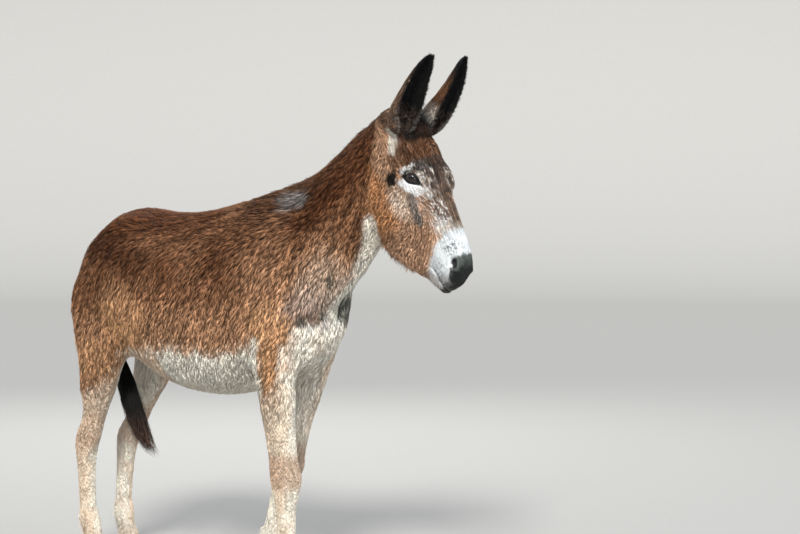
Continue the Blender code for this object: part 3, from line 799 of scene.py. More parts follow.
# %% Markings of the head
def head_markings(points):
    s, b, side = in_head(ragged(points, 0.007, 60)).T
    side = np.abs(side)

    def blot(centre, radii, soft=0.6):
        return oval(s, b, centre, radii, soft)

    def line(path, reach, core):
        return stroke(s, b, path, reach, core)

    def grain(wavelength, seed, share, coarser, end):
        field = wobble(points, wavelength, seed) + share * wobble(points, coarser, seed + 1)
        return step(field, -0.1, end)

    outer = step(side, 0.018, 0.040)
    fleck = grain(0.0075, 66, 0.6, 0.020, 0.9)
    gap_in_flecks = 1 - fleck
    soft = 0.5 + 0.5 * wobble(points, 0.022, 68)
    bridge = step(b + 0.24 * np.maximum(s - 0.050, 0), 0.038, 0.048) * step(s, -0.010, 0.030)
    nose_bone = line(NOSE_SIDE, 0.034, 0.018) * outer
    colour = lay(
        plain(CHEEK, points),
        (AMBER, 0.95 * step(b, -0.090, -0.120) * step(s, 0.13, 0.06)),
        (UMBER, 0.50 * soft * step(b, -0.13, -0.18) * step(s, 0.20, 0.10)),
        (OAT, (0.55 + 0.3 * soft) * blot((0.044, -0.076), (0.050, 0.032), 0.7)),
        (MAUVE, 0.60 * soft * blot((0.100, -0.018), (0.050, 0.022))),
        (UMBER, 0.80 * blot((-0.080, -0.012), (0.050, 0.036))),
        (UMBER, (0.88 + 0.3 * soft) * step(b, -0.014, 0.018) * step(s, 0.040, 0.000)),
        (RUST, 0.45 * soft * step(b, 0.020, 0.050) * step(s, -0.02, -0.06)),
        (SOOT, (0.75 + 0.2 * soft) * bridge),
        (TAUPE, 0.35 * fleck * bridge * step(s, 0.060, 0.120)),
        (ASH, 0.80 * line(NOSE_SIDE, 0.028, 0.013) * outer),
        (UMBER, 0.80 * nose_bone * gap_in_flecks * step(s, 0.19, 0.15)),
        (WHITE, (0.25 + 0.35 * step(s, 0.07, 0.12)) * nose_bone * fleck),
        (WHITE, (0.32 + 0.25 * fleck) * blot((0.176, -0.004), (0.030, 0.026), 0.7) * outer),
        (SOOT, 0.95 * line(NOSE_DARK, 0.018, 0.010)),
        (GREY, 0.80 * line(BLOTCH, 0.024, 0.007) * outer),
        (SOOT, 0.35 * gap_in_flecks * line(BLOTCH, 0.019, 0.008) * outer),
    )
    ahead, above = along_eye(s, b)
    white_share = 0.95 - 0.35 * step(ahead, 0.000, 0.040) * gap_in_flecks
    before = line(BEFORE_EYE, 0.016, 0.007) * step(side, 0.020, 0.040)
    by_ear = step(side, 0.050, 0.066)
    colour = lay(
        colour,
        (GREY, 0.90 * oval(ahead, above, (0.004, 0.003), (0.042, 0.027), 0.25) * outer),
        (WHITE, white_share * oval(ahead, above, (0.006, -0.021), (0.053, 0.017), 0.30) * outer),
        (ASH, 0.90 * before),
        (WHITE, 0.70 * fleck * before),
        (GREY, 0.80 * line(ABOVE_EYE, 0.015, 0.007) * outer),
        (WHITE, (0.30 + 0.5 * fleck) * line(ABOVE_EYE, 0.013, 0.005) * outer),
        (GREY, 0.55 * blot((-0.020, 0.042), (0.020, 0.016)) * outer),
        (BLACK, 0.75 * gap_in_flecks * blot((-0.022, 0.044), (0.018, 0.016))),
        (SOOT, 0.85 * line(BROW_LINE, 0.010, 0.004)),
        (BLACK, 0.98 * blot((-0.036, -0.059), (0.023, 0.019), 0.4) * outer),
        (ASH, 0.80 * line(EAR_TUFT, 0.024, 0.008) * by_ear),
        (CREAM, 0.50 * line(EAR_TUFT, 0.016, 0.005) * by_ear),
        (BLACK, 0.95 * step(s, -0.095, -0.118) * step(b, 0.030, 0.050)),
    )
    past_muzzle = s - level_of(b, MUZZLE_EDGE)
    nose = s - level_of(b, NOSE_EDGE)
    speck = grain(0.0075, 69, 0.4, 0.018, 0.4)
    gap, t = mouth_distance(points)
    return lay(
        colour,
        (FAWN, 0.45 * step(past_muzzle, -0.026, -0.008) * step(b, -0.010, -0.050)),
        (ASH, 0.60 * step(past_muzzle, -0.030, -0.008) * step(b, -0.050, -0.010)),
        (SNOW, step(past_muzzle, -0.012, 0.008)),
        (CHARCOAL, 0.80 * speck * blot((0.250, -0.014), (0.026, 0.022))),
        (SLATE, 0.45 * speck * blot((0.285, -0.085), (0.030, 0.024))),
        (SLATE, step(nose, -0.004, 0.007)),
        (CHARCOAL, 0.92 * step(s, 0.300, 0.325) * step(nose, 0.004, 0.018)),
        (GREY, 0.60 * blot((0.322, -0.090), (0.022, 0.018))),
        (GREY, 0.50 * step(gap, 0.016, 0.004) * step(t, 0.05, 0.5) * step(b, -0.120, -0.108)),
        (ASH, 0.55 * step(b, -0.112, -0.126) * step(s, 0.250, 0.280)),
        (CHARCOAL, 0.80 * step(s, 0.318, 0.340) * step(b, -0.104, -0.118)),
        (BLACK, eye_rims(points)),
    )


# %% Markings of the ears
EAR_BACKS = {"right": (0.105, 0.066, 0.044), "left": (0.090, 0.040, 0.019)}
PALE_EAR_BASE = (0.664, 0.158, 1.580)
OUTER_EDGE = ((0.0, 0.35, 0.60, 0.80), (0.002, 0.012, 0.026, 0.060))


def ear_markings(points, normals):
    """Black within and brown to black without, with a light ridge where the near ear turns over."""
    colour = np.zeros((len(points), 3))
    from_middle = in_head(points)[:, 2]
    for side, sign in SIDES.items():
        share, off = along_ear(points, side)
        back = mix(plain(EAR_BACKS[side], points), BLACK, step(share, 0.50, 0.90))
        inside = mix(plain(BLACK, points), SOOT, 0.6 * step(share, 0.25, 0.05))
        facing_out = (unit(off) * normals).sum(axis=1)
        axis = ear_axis(side)
        outward = unit(sign * (TO_LEFT - axis * (TO_LEFT @ axis)))
        across = off @ outward - (np.interp(share, *OUTER_EDGE) if sign < 0 else 0.060)
        ridge = bump(np.abs(across) / 0.007) * step(facing_out, 0.8, 0.4) * step(share, 0.85, 0.60)
        hollow = (step(facing_out, 0.15, -0.15) * step(across, 0.003, -0.003))[:, None]
        pale_base = bump(np.linalg.norm(points - np.array(PALE_EAR_BASE), axis=1) / 0.050)
        tone = lay(
            back * (1 - hollow) + inside * hollow,
            (FAWN, 0.85 * ridge),
            (BLACK, 0.95 * step(np.abs(from_middle), 0.078, 0.058) * step(share, 0.32, 0.16)),
            (CREAM, (0.65 if sign > 0 else 0.0) * pale_base),
        )
        colour += (sign * from_middle > 0)[:, None] * tone
    return colour


# %% All the markings, with the painted shade of the chest
def markings(points, normals):
    body = leg_markings(points, body_markings_and_shade(points))
    head = head_markings(points)
    share = in_front_of_throat(points)[:, None]
    ears = on_ear(points)[:, None]
    dock = on_tail(points)[:, None]
    colour = body * (1 - share) + head * share
    s, b, _ = in_head(points).T
    colour = mix(colour, CREAM, 0.85 * stroke(s, b, THROAT, 0.036, 0.014))
    colour = colour * (1 - ears) + ear_markings(points, normals) * ears
    return colour * (1 - dock) + np.array(UMBER) * 0.5 * dock


# %% Colour the skin
def paint(mesh, colours):
    """Keep a colour for each point of a mesh, for its material to read."""
    layer = mesh.color_attributes.new(name="coat", type="FLOAT_COLOR", domain="POINT")
    rows = np.ones((len(mesh.vertices), 4), np.float32)
    rows[:, :3] = colours
    layer.data.foreach_set("color", rows.ravel())


points = read_points(skin.data)
colours = markings(points, read_normals(skin.data))
# the skin under dark hair is darkened as painted shade beneath the coat; under pale hair and where the
# skin is bare it keeps its colour
bare = np.clip(1 - coat_depth(points) / 0.004, 0, 1)
light = step(colours.mean(axis=1), 0.20, 0.60)
colours = colours * np.maximum(0.40 + 0.60 * light, bare)[:, None]
for side in SIDES:
    opening, away, _ = eye_opening(points, side)
    colours = mix(colours, BLACK, step(opening, 0.50, 0.32) * (np.linalg.norm(away, axis=1) < 0.06))
outer = step(np.abs(in_head(points)[:, 2]), 0.018, 0.030)
gap, t = mouth_distance(points)
# the nostrils and the line between the lips are painted black, as painted shade in their hollows
colours = lay(
    colours,
    (BLACK, step(nostril_distance(points), 1.0, 0.6) * outer),
    (BLACK, 0.8 * step(gap, 0.004, 0.0015) * step(t, 0.0, 0.05) * in_front_of_throat(points)),
)
paint(skin.data, colours)
print("skin coloured:", np.round(colours.mean(axis=0), 3))

# %% [markdown]
# ## The lie of the coat
# Hair doesn't grow at random. It runs back and down over the rump and back, nearly straight down
# over the barrel and legs, down the face towards the lips, and back and down over the cheeks. A
# function gives that heading at any point. It is then laid flat on the skin, and turned a little by
# a smooth random field, so that the coat looks lived in.

# %% Heading of the hair
def weigh(share, a, b):
    """A smooth step from heading a to heading b."""
    return np.array(a) * (1 - share[:, None]) + np.array(b) * share[:, None]


def heading_of(points, normals):
    x, _, z = points.T
    s, b, side = in_head(points).T
    flow = weigh(step(z, 1.02, 1.24), (-0.30, 0.0, -0.95), (-0.85, 0.0, -0.50))
    flow = weigh(step(x, 0.20, 0.36) * step(z, 0.95, 1.10), flow, (-0.42, 0.0, -0.90))
    flow = weigh(step(z, 0.72, 0.60), flow, (-0.06, 0.0, -1.0))
    nose = step(b, -0.075, -0.005)
    face = weigh(nose, 0.50 * TO_LIPS - 0.85 * TO_BROW, 1.0 * TO_LIPS)
    face = weigh(nose * step(s, 0.02, -0.08), face, 0.75 * TO_LIPS + 0.15 * TO_BROW)
    face = face + (0.7 * np.sign(side) * nose * step(s, 0.02, -0.08))[:, None] * TO_LEFT
    face = weigh(step(s, -0.02, -0.14) * (1 - nose), face, (-0.30, 0.0, -0.95))
    flow = weigh(in_front_of_throat(points), flow, face)
    ears = on_ear(points)
    for ear_side, sign in SIDES.items():
        flow = weigh(ears * (sign * side > 0), flow, ear_axis(ear_side))
    flow = weigh(on_tail(points), flow, (0.0, 0.0, -1.0))
    flow = flow - normals * (flow * normals).sum(axis=1)[:, None]
    return unit(flow)


# %% How long, wide and close the tufts are, and where none grow
def coat_cut(points):
    """How closely tufts stand, and their length and width."""
    s, b, _ = in_head(points).T
    z = points[:, 2]
    low = step(z, 0.74, 0.52)
    length = 0.048 + 0.006 * step(z, 0.86, 0.78) * step(z, 0.62, 0.70) - 0.024 * low
    body = (1.0 + 1.7 * low, length - 0.006 * step(z, 0.50, 0.35), 0.0025 - 0.0009 * low)
    length = 0.024 + 0.006 * bump(np.hypot(s + 0.12, b - 0.07) / 0.10)
    length = length - 0.012 * step(s, 0.02, 0.14) * step(b, -0.13, -0.05)
    length = length - 0.013 * step(np.hypot(s - 0.008, b - 0.004), 0.064, 0.040)
    muzzle = step(s, 0.19, 0.25)
    length = length * (1 - muzzle) + 0.0050 * muzzle
    face = (3.4 + 0.8 * muzzle, length, 0.0018 - 0.0007 * muzzle)
    ear = (3.2, 0.011, 0.0016)
    head = in_front_of_throat(points)
    ears = on_ear(points)
    cut = [a * (1 - head) + b * head for a, b in zip(body, face)]
    return [a * (1 - ears) + b * ears for a, b in zip(cut, ear)]


def bare_places(points):
    """Where no hair grows: inside the lids, nostrils and lips, and below the coronet."""
    bare = points[:, 2] < 0.057
    for side in SIDES:
        opening, away, _ = eye_opening(points, side)
        bare |= (opening < 0.45) & (np.linalg.norm(away, axis=1) < 0.06)
    bare |= eye_rims(points) > 0.5
    s, _, side = in_head(points).T
    gap, t = mouth_distance(points)
    bare |= (nostril_distance(points) < 1.15) & (np.abs(side) > 0.015) & (s > 0.2)
    bare |= (gap < 0.0035) & (t > 0) & (s > 0.2)
    return bare


# %% [markdown]
# ## Tufts
# A tuft is a closed spindle: a root point just under the skin, a ring of three in the middle, and
# a tip, which makes only six triangles. That is light enough for nearly a quarter of a million.
# Their tips are drawn together in locks, which leaves the dark gaps of a real coat, deepened by painted
# shade at the roots and on the skin beneath.

# %% The skin as a ground for hair
skin.data.calc_loop_triangles()
CORNERS = read(skin.data.loop_triangles, "vertices", 3, np.int32)
CORNER_LOOPS = read(skin.data.loop_triangles, "loops", 3, np.int32)
CORNER_MAP = read(skin.data.uv_layers[MAP_NAME].data, "uv", 2)[CORNER_LOOPS]
SKIN_POINTS = read_points(skin.data)
SKIN_NORMALS = read_normals(skin.data)
SURFACE = BVHTree.FromPolygons(SKIN_POINTS.tolist(), CORNERS.tolist())
POINT_MAP = np.zeros((len(SKIN_POINTS), 2))
POINT_MAP[CORNERS.ravel()] = CORNER_MAP.reshape(-1, 2)


# %% Scatter roots over the skin
def scatter(count, weight_of, seed):
    """Roots over the skin, with their normals and places on the flat map."""
    rng = np.random.default_rng(seed)
    corner = SKIN_POINTS[CORNERS]
    area = np.linalg.norm(np.cross(corner[:, 1] - corner[:, 0], corner[:, 2] - corner[:, 0]), axis=1)
    reach = np.cumsum(area * weight_of(corner.mean(axis=1)))
    spots = (np.arange(count) + rng.uniform(size=count)) / count * reach[-1]
    chosen = np.minimum(np.searchsorted(reach, spots), len(reach) - 1)
    u, v = rng.uniform(size=(2, count))
    over = u + v > 1
    u, v = np.where(over, 1 - u, u), np.where(over, 1 - v, v)
    shares = np.column_stack((1 - u - v, u, v))[:, :, None]
    roots = (corner[chosen] * shares).sum(axis=1)
    normals = unit((SKIN_NORMALS[CORNERS[chosen]] * shares).sum(axis=1))
    places = (CORNER_MAP[chosen] * shares).sum(axis=1)
    order = rng.permutation(count)
    return roots[order], normals[order], places[order]


# %% Find the nearest skin
def on_skin(points):
    """The nearest points of the skin, and its normals there."""
    found = [SURFACE.find_nearest(point)[:2] for point in points.tolist()]
    spots, normals = np.array(found).transpose(1, 0, 2)
    return spots, normals


def tree_of(points):
    """A tree that finds the nearest of some points."""
    tree = KDTree(len(points))
    for i, point in enumerate(points.tolist()):
        tree.insert(point, i)
    tree.balance()
    return tree


def nearest_in(tree, points):
    return np.array([tree.find(point)[1] for point in points.tolist()])


def turn(vectors, normals, angles):
    """Turn each vector about its normal."""
    across = np.cross(normals, vectors)
    return vectors * np.cos(angles)[:, None] + across * np.sin(angles)[:, None]


# %% Make a mesh of tufts
PATCH = 0.0015  # half the size of a tuft's patch on the flat map
FLATNESS = 0.16  # of a tuft's section


def spindle(inner):
    """Faces of a tuft with some inner rings, as numbers of its points, and its patch of the flat map."""
    last = 1 + 3 * inner
    faces = []
    for k in range(3):
        after = (k + 1) % 3
        faces.append((0, 1 + after, 1 + k))
        for low in range(1, last - 3, 3):
            high = low + 3
            faces += [(low + k, low + after, high + after), (low + k, high + after, high + k)]
        faces.append((last - 3 + k, last - 3 + after, last))
    spread = [(0, -PATCH)]
    for row in range(inner):
        level = PATCH * (2 * (row + 1) / (inner + 1) - 1)
        spread += [(PATCH, level), (0, level), (-PATCH, level)]
    return np.array(faces), np.array(spread + [(0, PATCH)])


def add_tufts(name, spines, widths, facing, colours, places):
    """Closed spindles. spines holds root, inner stations and tip of each tuft, widths those inside."""
    count, stations, _ = spines.shape
    inner = stations - 2
    ahead = unit(spines[:, 2:] - spines[:, :-2])
    across = unit(np.cross(ahead, facing[:, None, :]))
    up = np.cross(across, ahead)
    middle = spines[:, 1:-1]
    half = widths[:, :, None] / 2
    ring = np.stack((middle + across * half - up * half * FLATNESS,
                     middle + up * half * 2 * FLATNESS,
                     middle - across * half - up * half * FLATNESS), axis=2)
    points = np.concatenate((spines[:, :1], ring.reshape(count, inner * 3, 3), spines[:, -1:]), axis=1)
    per_tuft = points.shape[1]
    faces, spread = spindle(inner)
    corners = (faces[None] + (np.arange(count) * per_tuft)[:, None, None]).reshape(-1)
    flat_places = (places[:, None, :] + spread[None]).reshape(-1, 2)
    mesh = bpy.data.meshes.new(name)
    mesh.vertices.add(count * per_tuft)
    mesh.vertices.foreach_set("co", points.astype(np.float32).ravel())
    mesh.loops.add(len(corners))
    mesh.loops.foreach_set("vertex_index", corners.astype(np.int32))
    mesh.polygons.add(len(corners) // 3)
    mesh.polygons.foreach_set("loop_start", np.arange(0, len(corners), 3, dtype=np.int32))
    mesh.update(calc_edges=True)
    layer = mesh.uv_layers.new(name=MAP_NAME)
    layer.data.foreach_set("uv", flat_places[corners].astype(np.float32).ravel())
    ring_colours = np.repeat(colours[:, 1:-1], 3, axis=1)
    shades = np.concatenate((colours[:, :1], ring_colours, colours[:, -1:]), axis=1)
    paint(mesh, shades.reshape(-1, 3))
    mesh.polygons.foreach_set("use_smooth", np.ones(len(mesh.polygons), bool))
    return add_object(name, mesh)


# %% Lay the coat
TUFTS = 226_000
COAT_PIECES = 7
TUFTS_IN_A_LOCK = 4
PULL = 0.35  # how far the tips of a lock come together
WIDEST_LOCK = 0.03  # tips further apart than this stay apart
ROOT_DEPTH = 0.0008


def coat_weight(points):
    return coat_cut(points)[0] * ~bare_places(points)


rng = np.random.default_rng(7)
roots, normals, places = scatter(TUFTS, coat_weight, 1)
_, lengths, widths = coat_cut(roots)
locks = nearest_in(tree_of(roots[: TUFTS // TUFTS_IN_A_LOCK]), roots)
angles = math.radians(10) * wobble(roots, 0.080, 2) + math.radians(6) * wobble(roots, 0.030, 3)
flow = turn(heading_of(roots, normals), normals, angles)
on_head = in_front_of_throat(roots)
ridges = streaks(roots, flow, 0.011, 0.080, 4) + 0.5 * streaks(roots, flow, 0.032, 0.120, 5)
ridges = ridges * (1 - on_head) + 1.1 * streaks(roots, flow, 0.007, 0.030, 6) * on_head
calm = 1 - 0.5 * step(markings(roots, normals).mean(axis=1), 0.20, 0.60)
angles = math.radians(6) * rng.normal(size=TUFTS)[locks] + math.radians(5) * rng.normal(size=TUFTS)
headings = turn(flow, normals, angles * calm)
lengths = lengths * rng.uniform(0.75, 1.20, TUFTS)
tips = roots + headings * lengths[:, None]
apart = tips[locks] - tips
tips = tips + (PULL * calm)[:, None] * apart * (np.linalg.norm(apart, axis=1) < WIDEST_LOCK)[:, None]
grounds, tip_normals = on_skin(tips)
rise = coat_depth(roots) * (1 - calm * rng.uniform(0, 0.20, TUFTS)[locks])
rise = rise * (1 + calm * rng.uniform(-0.15, 0.10, TUFTS))
rise = rise * np.clip(0.90 + 0.16 * calm * ridges, 0.45, 1.15)
tips = grounds + tip_normals * rise[:, None]
sag = ((tip_normals - normals) * headings).sum(axis=1) * lengths / 8
middles = 0.58 * roots + 0.42 * grounds + unit(normals + tip_normals) * (sag + 0.80 * rise)[:, None]
spines = np.stack((roots - normals * ROOT_DEPTH, middles, tips), axis=1)
base = markings(0.55 * roots + 0.45 * grounds, normals)
pale = step(base.mean(axis=1), 0.20, 0.60)
# tufts standing higher on the streaks are lighter and those lying lower between them darker, as painted
# light and shade; each tuft also gets a random tone of its own
shade = (0.27 - 0.21 * pale + 0.10 * on_head) * ridges + (0.11 - 0.08 * pale) * rng.normal(size=TUFTS)
base = base * np.exp(shade)[:, None]
pale = pale[:, None]
# each tuft is darker at its root, as painted shade deep in the coat, and lighter at its tip, partly the
# paler tips of a winter coat and partly painted light
colours = np.stack(((0.64 + 0.33 * pale) * base, 0.97 * base, (1.10 - 0.07 * pale) * base), axis=1)
coat = []
for k in range(COAT_PIECES):
    part = slice(k, None, COAT_PIECES)
    coat.append(add_tufts(f"coat_{k + 1}", spines[part], widths[part, None], normals[part],
                          colours[part], places[part]))
    print(coat[-1].name, len(coat[-1].data.polygons), "triangles")

# %% [markdown]
# ## Long hair
# The mane, forelock, tail, beard and the fringes of the ears are longer tufts with more stations,
# so that they can bend. All but the tail are drawn by one helper: roots, headings, and how far the
# tufts droop.


# %% Bending tufts
STATIONS = 4  # from the root to the tip of a bending tuft
WAVE = 0.06
LONG_ROOT_DEPTH = 0.001


def bent(name, roots, headings, lengths, width, droop, colours, places, facing, seed):
    """Tufts that leave their roots along a heading and droop towards the ground."""
    rng = np.random.default_rng(seed)
    count = len(roots)
    shares = np.linspace(0, 1, STATIONS)
    t = shares[None, :, None]
    long = lengths[:, None, None]
    fall = np.array((0.0, 0.0, -1.0)) * (droop * long) * t**2
    sway = rng.normal(size=(count, 1, 3)) * WAVE * long * np.sin(math.pi * t)
    curl = rng.normal(size=(count, 1, 3)) * WAVE * long * t**1.5
    spines = roots[:, None, :] + headings[:, None, :] * long * t + fall + sway + curl
    widths = width * rng.uniform(0.7, 1.3, (count, 1)) * (1 - 0.55 * shares[1:-1] ** 2)[None]
    shades = np.exp(0.18 * rng.normal(size=(count, 1, 1)))
    # darker at the root and lighter at the tip, as painted shade and light along the hair
    tone = (0.60 + 0.55 * shares)[None, :, None]
    return add_tufts(name, spines, widths, facing, colours[:, None, :] * shades * tone, places)


SKIN_TREE = tree_of(SKIN_POINTS)


def nearest_places(points):
    """Places on the flat map, and normals, of the skin points nearest to some roots."""
    found = nearest_in(SKIN_TREE, points)
    return POINT_MAP[found], SKIN_NORMALS[found]


def pick(rng, here, count, spread=0.0):
    """Points of the skin picked where asked, with their normals and places on the flat map."""
    picked = rng.choice(np.flatnonzero(here), count)
    roots = SKIN_POINTS[picked]
    if spread:
        roots = roots + rng.normal(0, spread, (count, 3))
    return roots, SKIN_NORMALS[picked], POINT_MAP[picked]


def along_path(path, t):
    """Points and headings on a smooth line through a path's points, for shares of its length."""
    path = np.array(path, float)
    reach = np.concatenate(([0], np.cumsum(np.linalg.norm(np.diff(path, axis=0), axis=1))))

    def at(where):
        return np.column_stack([np.interp(where, reach, path[:, k]) for k in range(3)])

    where = t * reach[-1]
    return at(where), unit(at(where + 0.01) - at(where - 0.01))


# %% Mane and forelock
CREST = (
    (0.068, 0.000, 1.315), (0.127, 0.013, 1.343), (0.188, 0.025, 1.361), (0.271, 0.038, 1.397),
    (0.352, 0.049, 1.459), (0.430, 0.060, 1.524), (0.493, 0.068, 1.558),
    tuple(from_head(-0.165, 0.050, 0.0)),
)
MANE_TUFTS = 3400
rng = np.random.default_rng(11)
share = rng.uniform(0.02, 1, MANE_TUFTS)
spots, ahead = along_path(CREST, share)
across = unit(np.cross((0.0, 0.0, 1.0), ahead))
upward = np.cross(ahead, across)
roots, _ = on_skin(spots + across * rng.normal(0, 0.007, (MANE_TUFTS, 1)))
places, normals = nearest_places(roots)
rise = rng.uniform(0.55, 0.9, (MANE_TUFTS, 1))
lean = rng.uniform(0.25, 0.75, (MANE_TUFTS, 1))
headings = unit(upward * rise + across * lean - ahead * rng.uniform(0.5, 0.9, (MANE_TUFTS, 1)))
lengths = rng.uniform(0.034, 0.058, MANE_TUFTS) * step(share, -0.05, 0.22)
shade = np.clip(0.5 + 0.5 * rng.normal(size=MANE_TUFTS), 0, 1)[:, None]
colours = np.array(UMBER) * (1 - 0.6 * shade) + np.array(RUST) * 0.5 * shade
roots = roots - normals * LONG_ROOT_DEPTH
mane = bent("mane_hair", roots, headings, lengths, 0.0024, 0.35, colours, places, upward, 12)

FORELOCK_TUFTS = 700
rng = np.random.default_rng(13)
spread = rng.uniform(-1, 1, FORELOCK_TUFTS)
back = rng.uniform(0, 1, FORELOCK_TUFTS)
spots = [from_head(-0.185 + 0.050 * k, 0.055 + 0.02 * k, 0.040 * w) for k, w in zip(back, spread)]
roots, _ = on_skin(np.array(spots))
places, normals = nearest_places(roots)
headings = unit(0.75 * TO_LIPS + 0.55 * TO_BROW + spread[:, None] * 0.35 * TO_LEFT
                + 0.25 * rng.normal(size=(FORELOCK_TUFTS, 3)))
lengths = rng.uniform(0.022, 0.042, FORELOCK_TUFTS)
colours = np.array(UMBER) * rng.uniform(0.05, 0.6, (FORELOCK_TUFTS, 1))
roots = roots - normals * LONG_ROOT_DEPTH
forelock = bent("forelock", roots, headings, lengths, 0.0020, 0.25, colours, places, normals, 14)
print("mane and forelock:", len(mane.data.polygons) + len(forelock.data.polygons), "triangles")

# %% Switch of the tail
STRANDS = 1700
STRAND_STATIONS = 7
TAIL_TIP = (0.160, 0.085, 0.060)
rng = np.random.default_rng(15)
start = rng.uniform(0.0, 0.50, STRANDS)
end = np.clip(start + rng.uniform(0.30, 0.62, STRANDS), 0, 1) * rng.uniform(0.86, 1.0, STRANDS)
straying = np.abs(rng.normal(size=STRANDS))
turned = rng.uniform(0, 2 * math.pi, STRANDS)
far = np.sqrt(rng.uniform(0, 1, STRANDS))
across = plain((0.0, 1.0, 0.0), start)
rows = []
for k in range(STRAND_STATIONS):
    t = start + (end - start) * k / (STRAND_STATIONS - 1)
    spots, ahead = along_path(SWITCH_PATH, t)
    upward = np.cross(ahead, across)
    wide = 0.023 + 0.009 * np.sin(math.pi * np.clip(t, 0, 1)) - 0.010 * step(t, 0.80, 1.0)
    wide = wide * (1 + 0.30 * straying * step(t, 0.3, 1.0))
    spin = (turned + 0.45 * k / STRAND_STATIONS * rng.normal(size=STRANDS))[:, None]
    rows.append(spots + (across * np.cos(spin) + upward * np.sin(spin)) * (far * wide)[:, None])
spines = np.stack(rows, axis=1)
inner = np.linspace(0, 1, STRAND_STATIONS)[1:-1]
widths = 0.0032 * rng.uniform(0.6, 1.2, (STRANDS, 1)) * (1 - 0.6 * inner**2)[None]
facing = unit(spines[:, 3] - along_path(SWITCH_PATH, (start + end) / 2)[0])
low = step(spines[:, :, 2], 0.56, 0.40)[:, :, None] * rng.uniform(0.1, 1, (STRANDS, 1, 1))
tone = rng.uniform(0.3, 1.2, (STRANDS, 1, 1))
colours = (0.6 * np.array(BLACK) * (1 - low) + np.array(TAIL_TIP) * low) * tone
places, _ = nearest_places(spines[:, 0])
tail = add_tufts("tail_hair", spines, widths, facing, colours, places)
print("tail:", len(tail.data.polygons), "triangles")


# %% Fringes of the ears
def ear_flow(roots):
    """The way up the ear at each root, and its share of the ear's length."""
    share = np.zeros(len(roots))
    up_ear = np.zeros((len(roots), 3))
    for side, sign in SIDES.items():
        here = sign * in_head(roots)[:, 2] > 0
        share[here] = along_ear(roots, side)[0][here]
        up_ear[here] = ear_axis(side)
    return up_ear, share


FRINGE_TUFTS = 2600
INNER_TUFTS = 1500
neighbour_normals = Relaxer(skin.data).middles(SKIN_NORMALS)
edge = np.linalg.norm(neighbour_normals, axis=1) < 0.93
rng = np.random.default_rng(16)
roots, normals, places = pick(rng, edge & (on_ear(SKIN_POINTS) > 0.6), FRINGE_TUFTS, 0.0006)
up_ear, share = ear_flow(roots)
headings = unit(0.45 * normals + 0.9 * up_ear + 0.22 * rng.normal(size=roots.shape))
lengths = rng.uniform(0.006, 0.013, FRINGE_TUFTS) * (1.25 - 0.5 * np.clip(share, 0, 1))
pale = step(share, 0.45, 0.15)[:, None] * rng.uniform(0, 1, (FRINGE_TUFTS, 1))
colours = np.array(BLACK) * (1 - pale) + np.array(GREY) * pale
ear_fringe = bent("ear_fringe", roots, headings, lengths, 0.0013, 0.0, colours, places, normals, 17)

hollow = np.zeros(len(SKIN_POINTS), bool)
for side, sign in SIDES.items():
    share, off = along_ear(SKIN_POINTS, side)
    near = (np.linalg.norm(off, axis=1) < 0.05) & (sign * in_head(SKIN_POINTS)[:, 2] > 0)
    hollow |= near & ((SKIN_NORMALS * off).sum(axis=1) < 0) & (share > 0.00) & (share < 0.30)
rng = np.random.default_rng(18)
roots, normals, places = pick(rng, hollow, INNER_TUFTS)
headings = unit(0.55 * normals + 0.75 * ear_flow(roots)[0] + 0.25 * rng.normal(size=roots.shape))
lengths = rng.uniform(0.012, 0.024, INNER_TUFTS)
colours = np.array(SOOT) * rng.uniform(0.3, 1.6, (INNER_TUFTS, 1))
ear_hair = bent("ear_hair", roots, headings, lengths, 0.0014, 0.0, colours, places, normals, 19)
print("ears:", len(ear_fringe.data.polygons) + len(ear_hair.data.polygons), "triangles")

# %% Beard along the jaw, and feathers behind the fetlocks
BEARD_TUFTS = 1700
FEATHER_TUFTS = 1500
s, b, _ = in_head(SKIN_POINTS).T
under_jaw = (in_front_of_throat(SKIN_POINTS) > 0.6) & (SKIN_NORMALS[:, 2] < -0.25)
under_jaw &= (s < 0.215) & (b < -0.10)
fetlock = (SKIN_POINTS[:, 2] > 0.100) & (SKIN_POINTS[:, 2] < 0.185) & (SKIN_NORMALS[:, 0] < -0.45)
rng = np.random.default_rng(20)
beard_parts = []
for name, here, count in (("beard", under_jaw, BEARD_TUFTS), ("feathers", fetlock, FEATHER_TUFTS)):
    roots, normals, places = pick(rng, here, count, 0.0015)
    headings = unit(heading_of(roots, normals) + 0.40 * normals + 0.20 * rng.normal(size=roots.shape))
    lengths = 0.026 * rng.uniform(0.6, 1.25, count)
    colours = markings(roots, normals)
    roots = roots - normals * LONG_ROOT_DEPTH
    beard_parts.append(bent(name, roots, headings, lengths, 0.0020, 0.15, colours, places, normals, 21))
    print(name, len(beard_parts[-1].data.polygons), "triangles")

# %% Eyelashes
LASHES = 90  # on each upper lid
rng = np.random.default_rng(22)
roots = []
headings = []
for eye, along, lift, outward in EYES.values():
    for a in rng.uniform(-0.85, 0.80, LASHES):
        rise = UPPER_RISE * (1 - abs(a) ** 1.6) ** (1 / 1.6)
        corner = FRONT_CORNER if a > 0 else BACK_CORNER
        flat_spot = along * a * corner + lift * (rise - 0.16 * max(a, 0) * corner)
        height = math.sqrt((EYE_RADIUS + LID) ** 2 - flat_spot @ flat_spot)
        roots.append(eye + flat_spot + outward * (height - 0.001))
        headings.append(0.85 * outward + 0.25 * lift + 0.35 * a * along)
roots = np.array(roots)
headings = unit(np.array(headings) + 0.15 * rng.normal(size=roots.shape))
lengths = rng.uniform(0.007, 0.012, len(roots))
places, _ = nearest_places(roots)
facing = headings[:, [1, 2, 0]]
lashes = bent("lashes", roots, headings, lengths, 0.0007, 0.55, plain(BLACK, roots), places, facing, 23)
print("lashes:", len(lashes.data.polygons), "triangles")

# %% [markdown]
# ## Eyes
# Each eye is a sphere with a slightly bulging cornea. A vector kept at each point says where it
# lies across the eye, so that the material can draw the long level pupil and the iris round it.

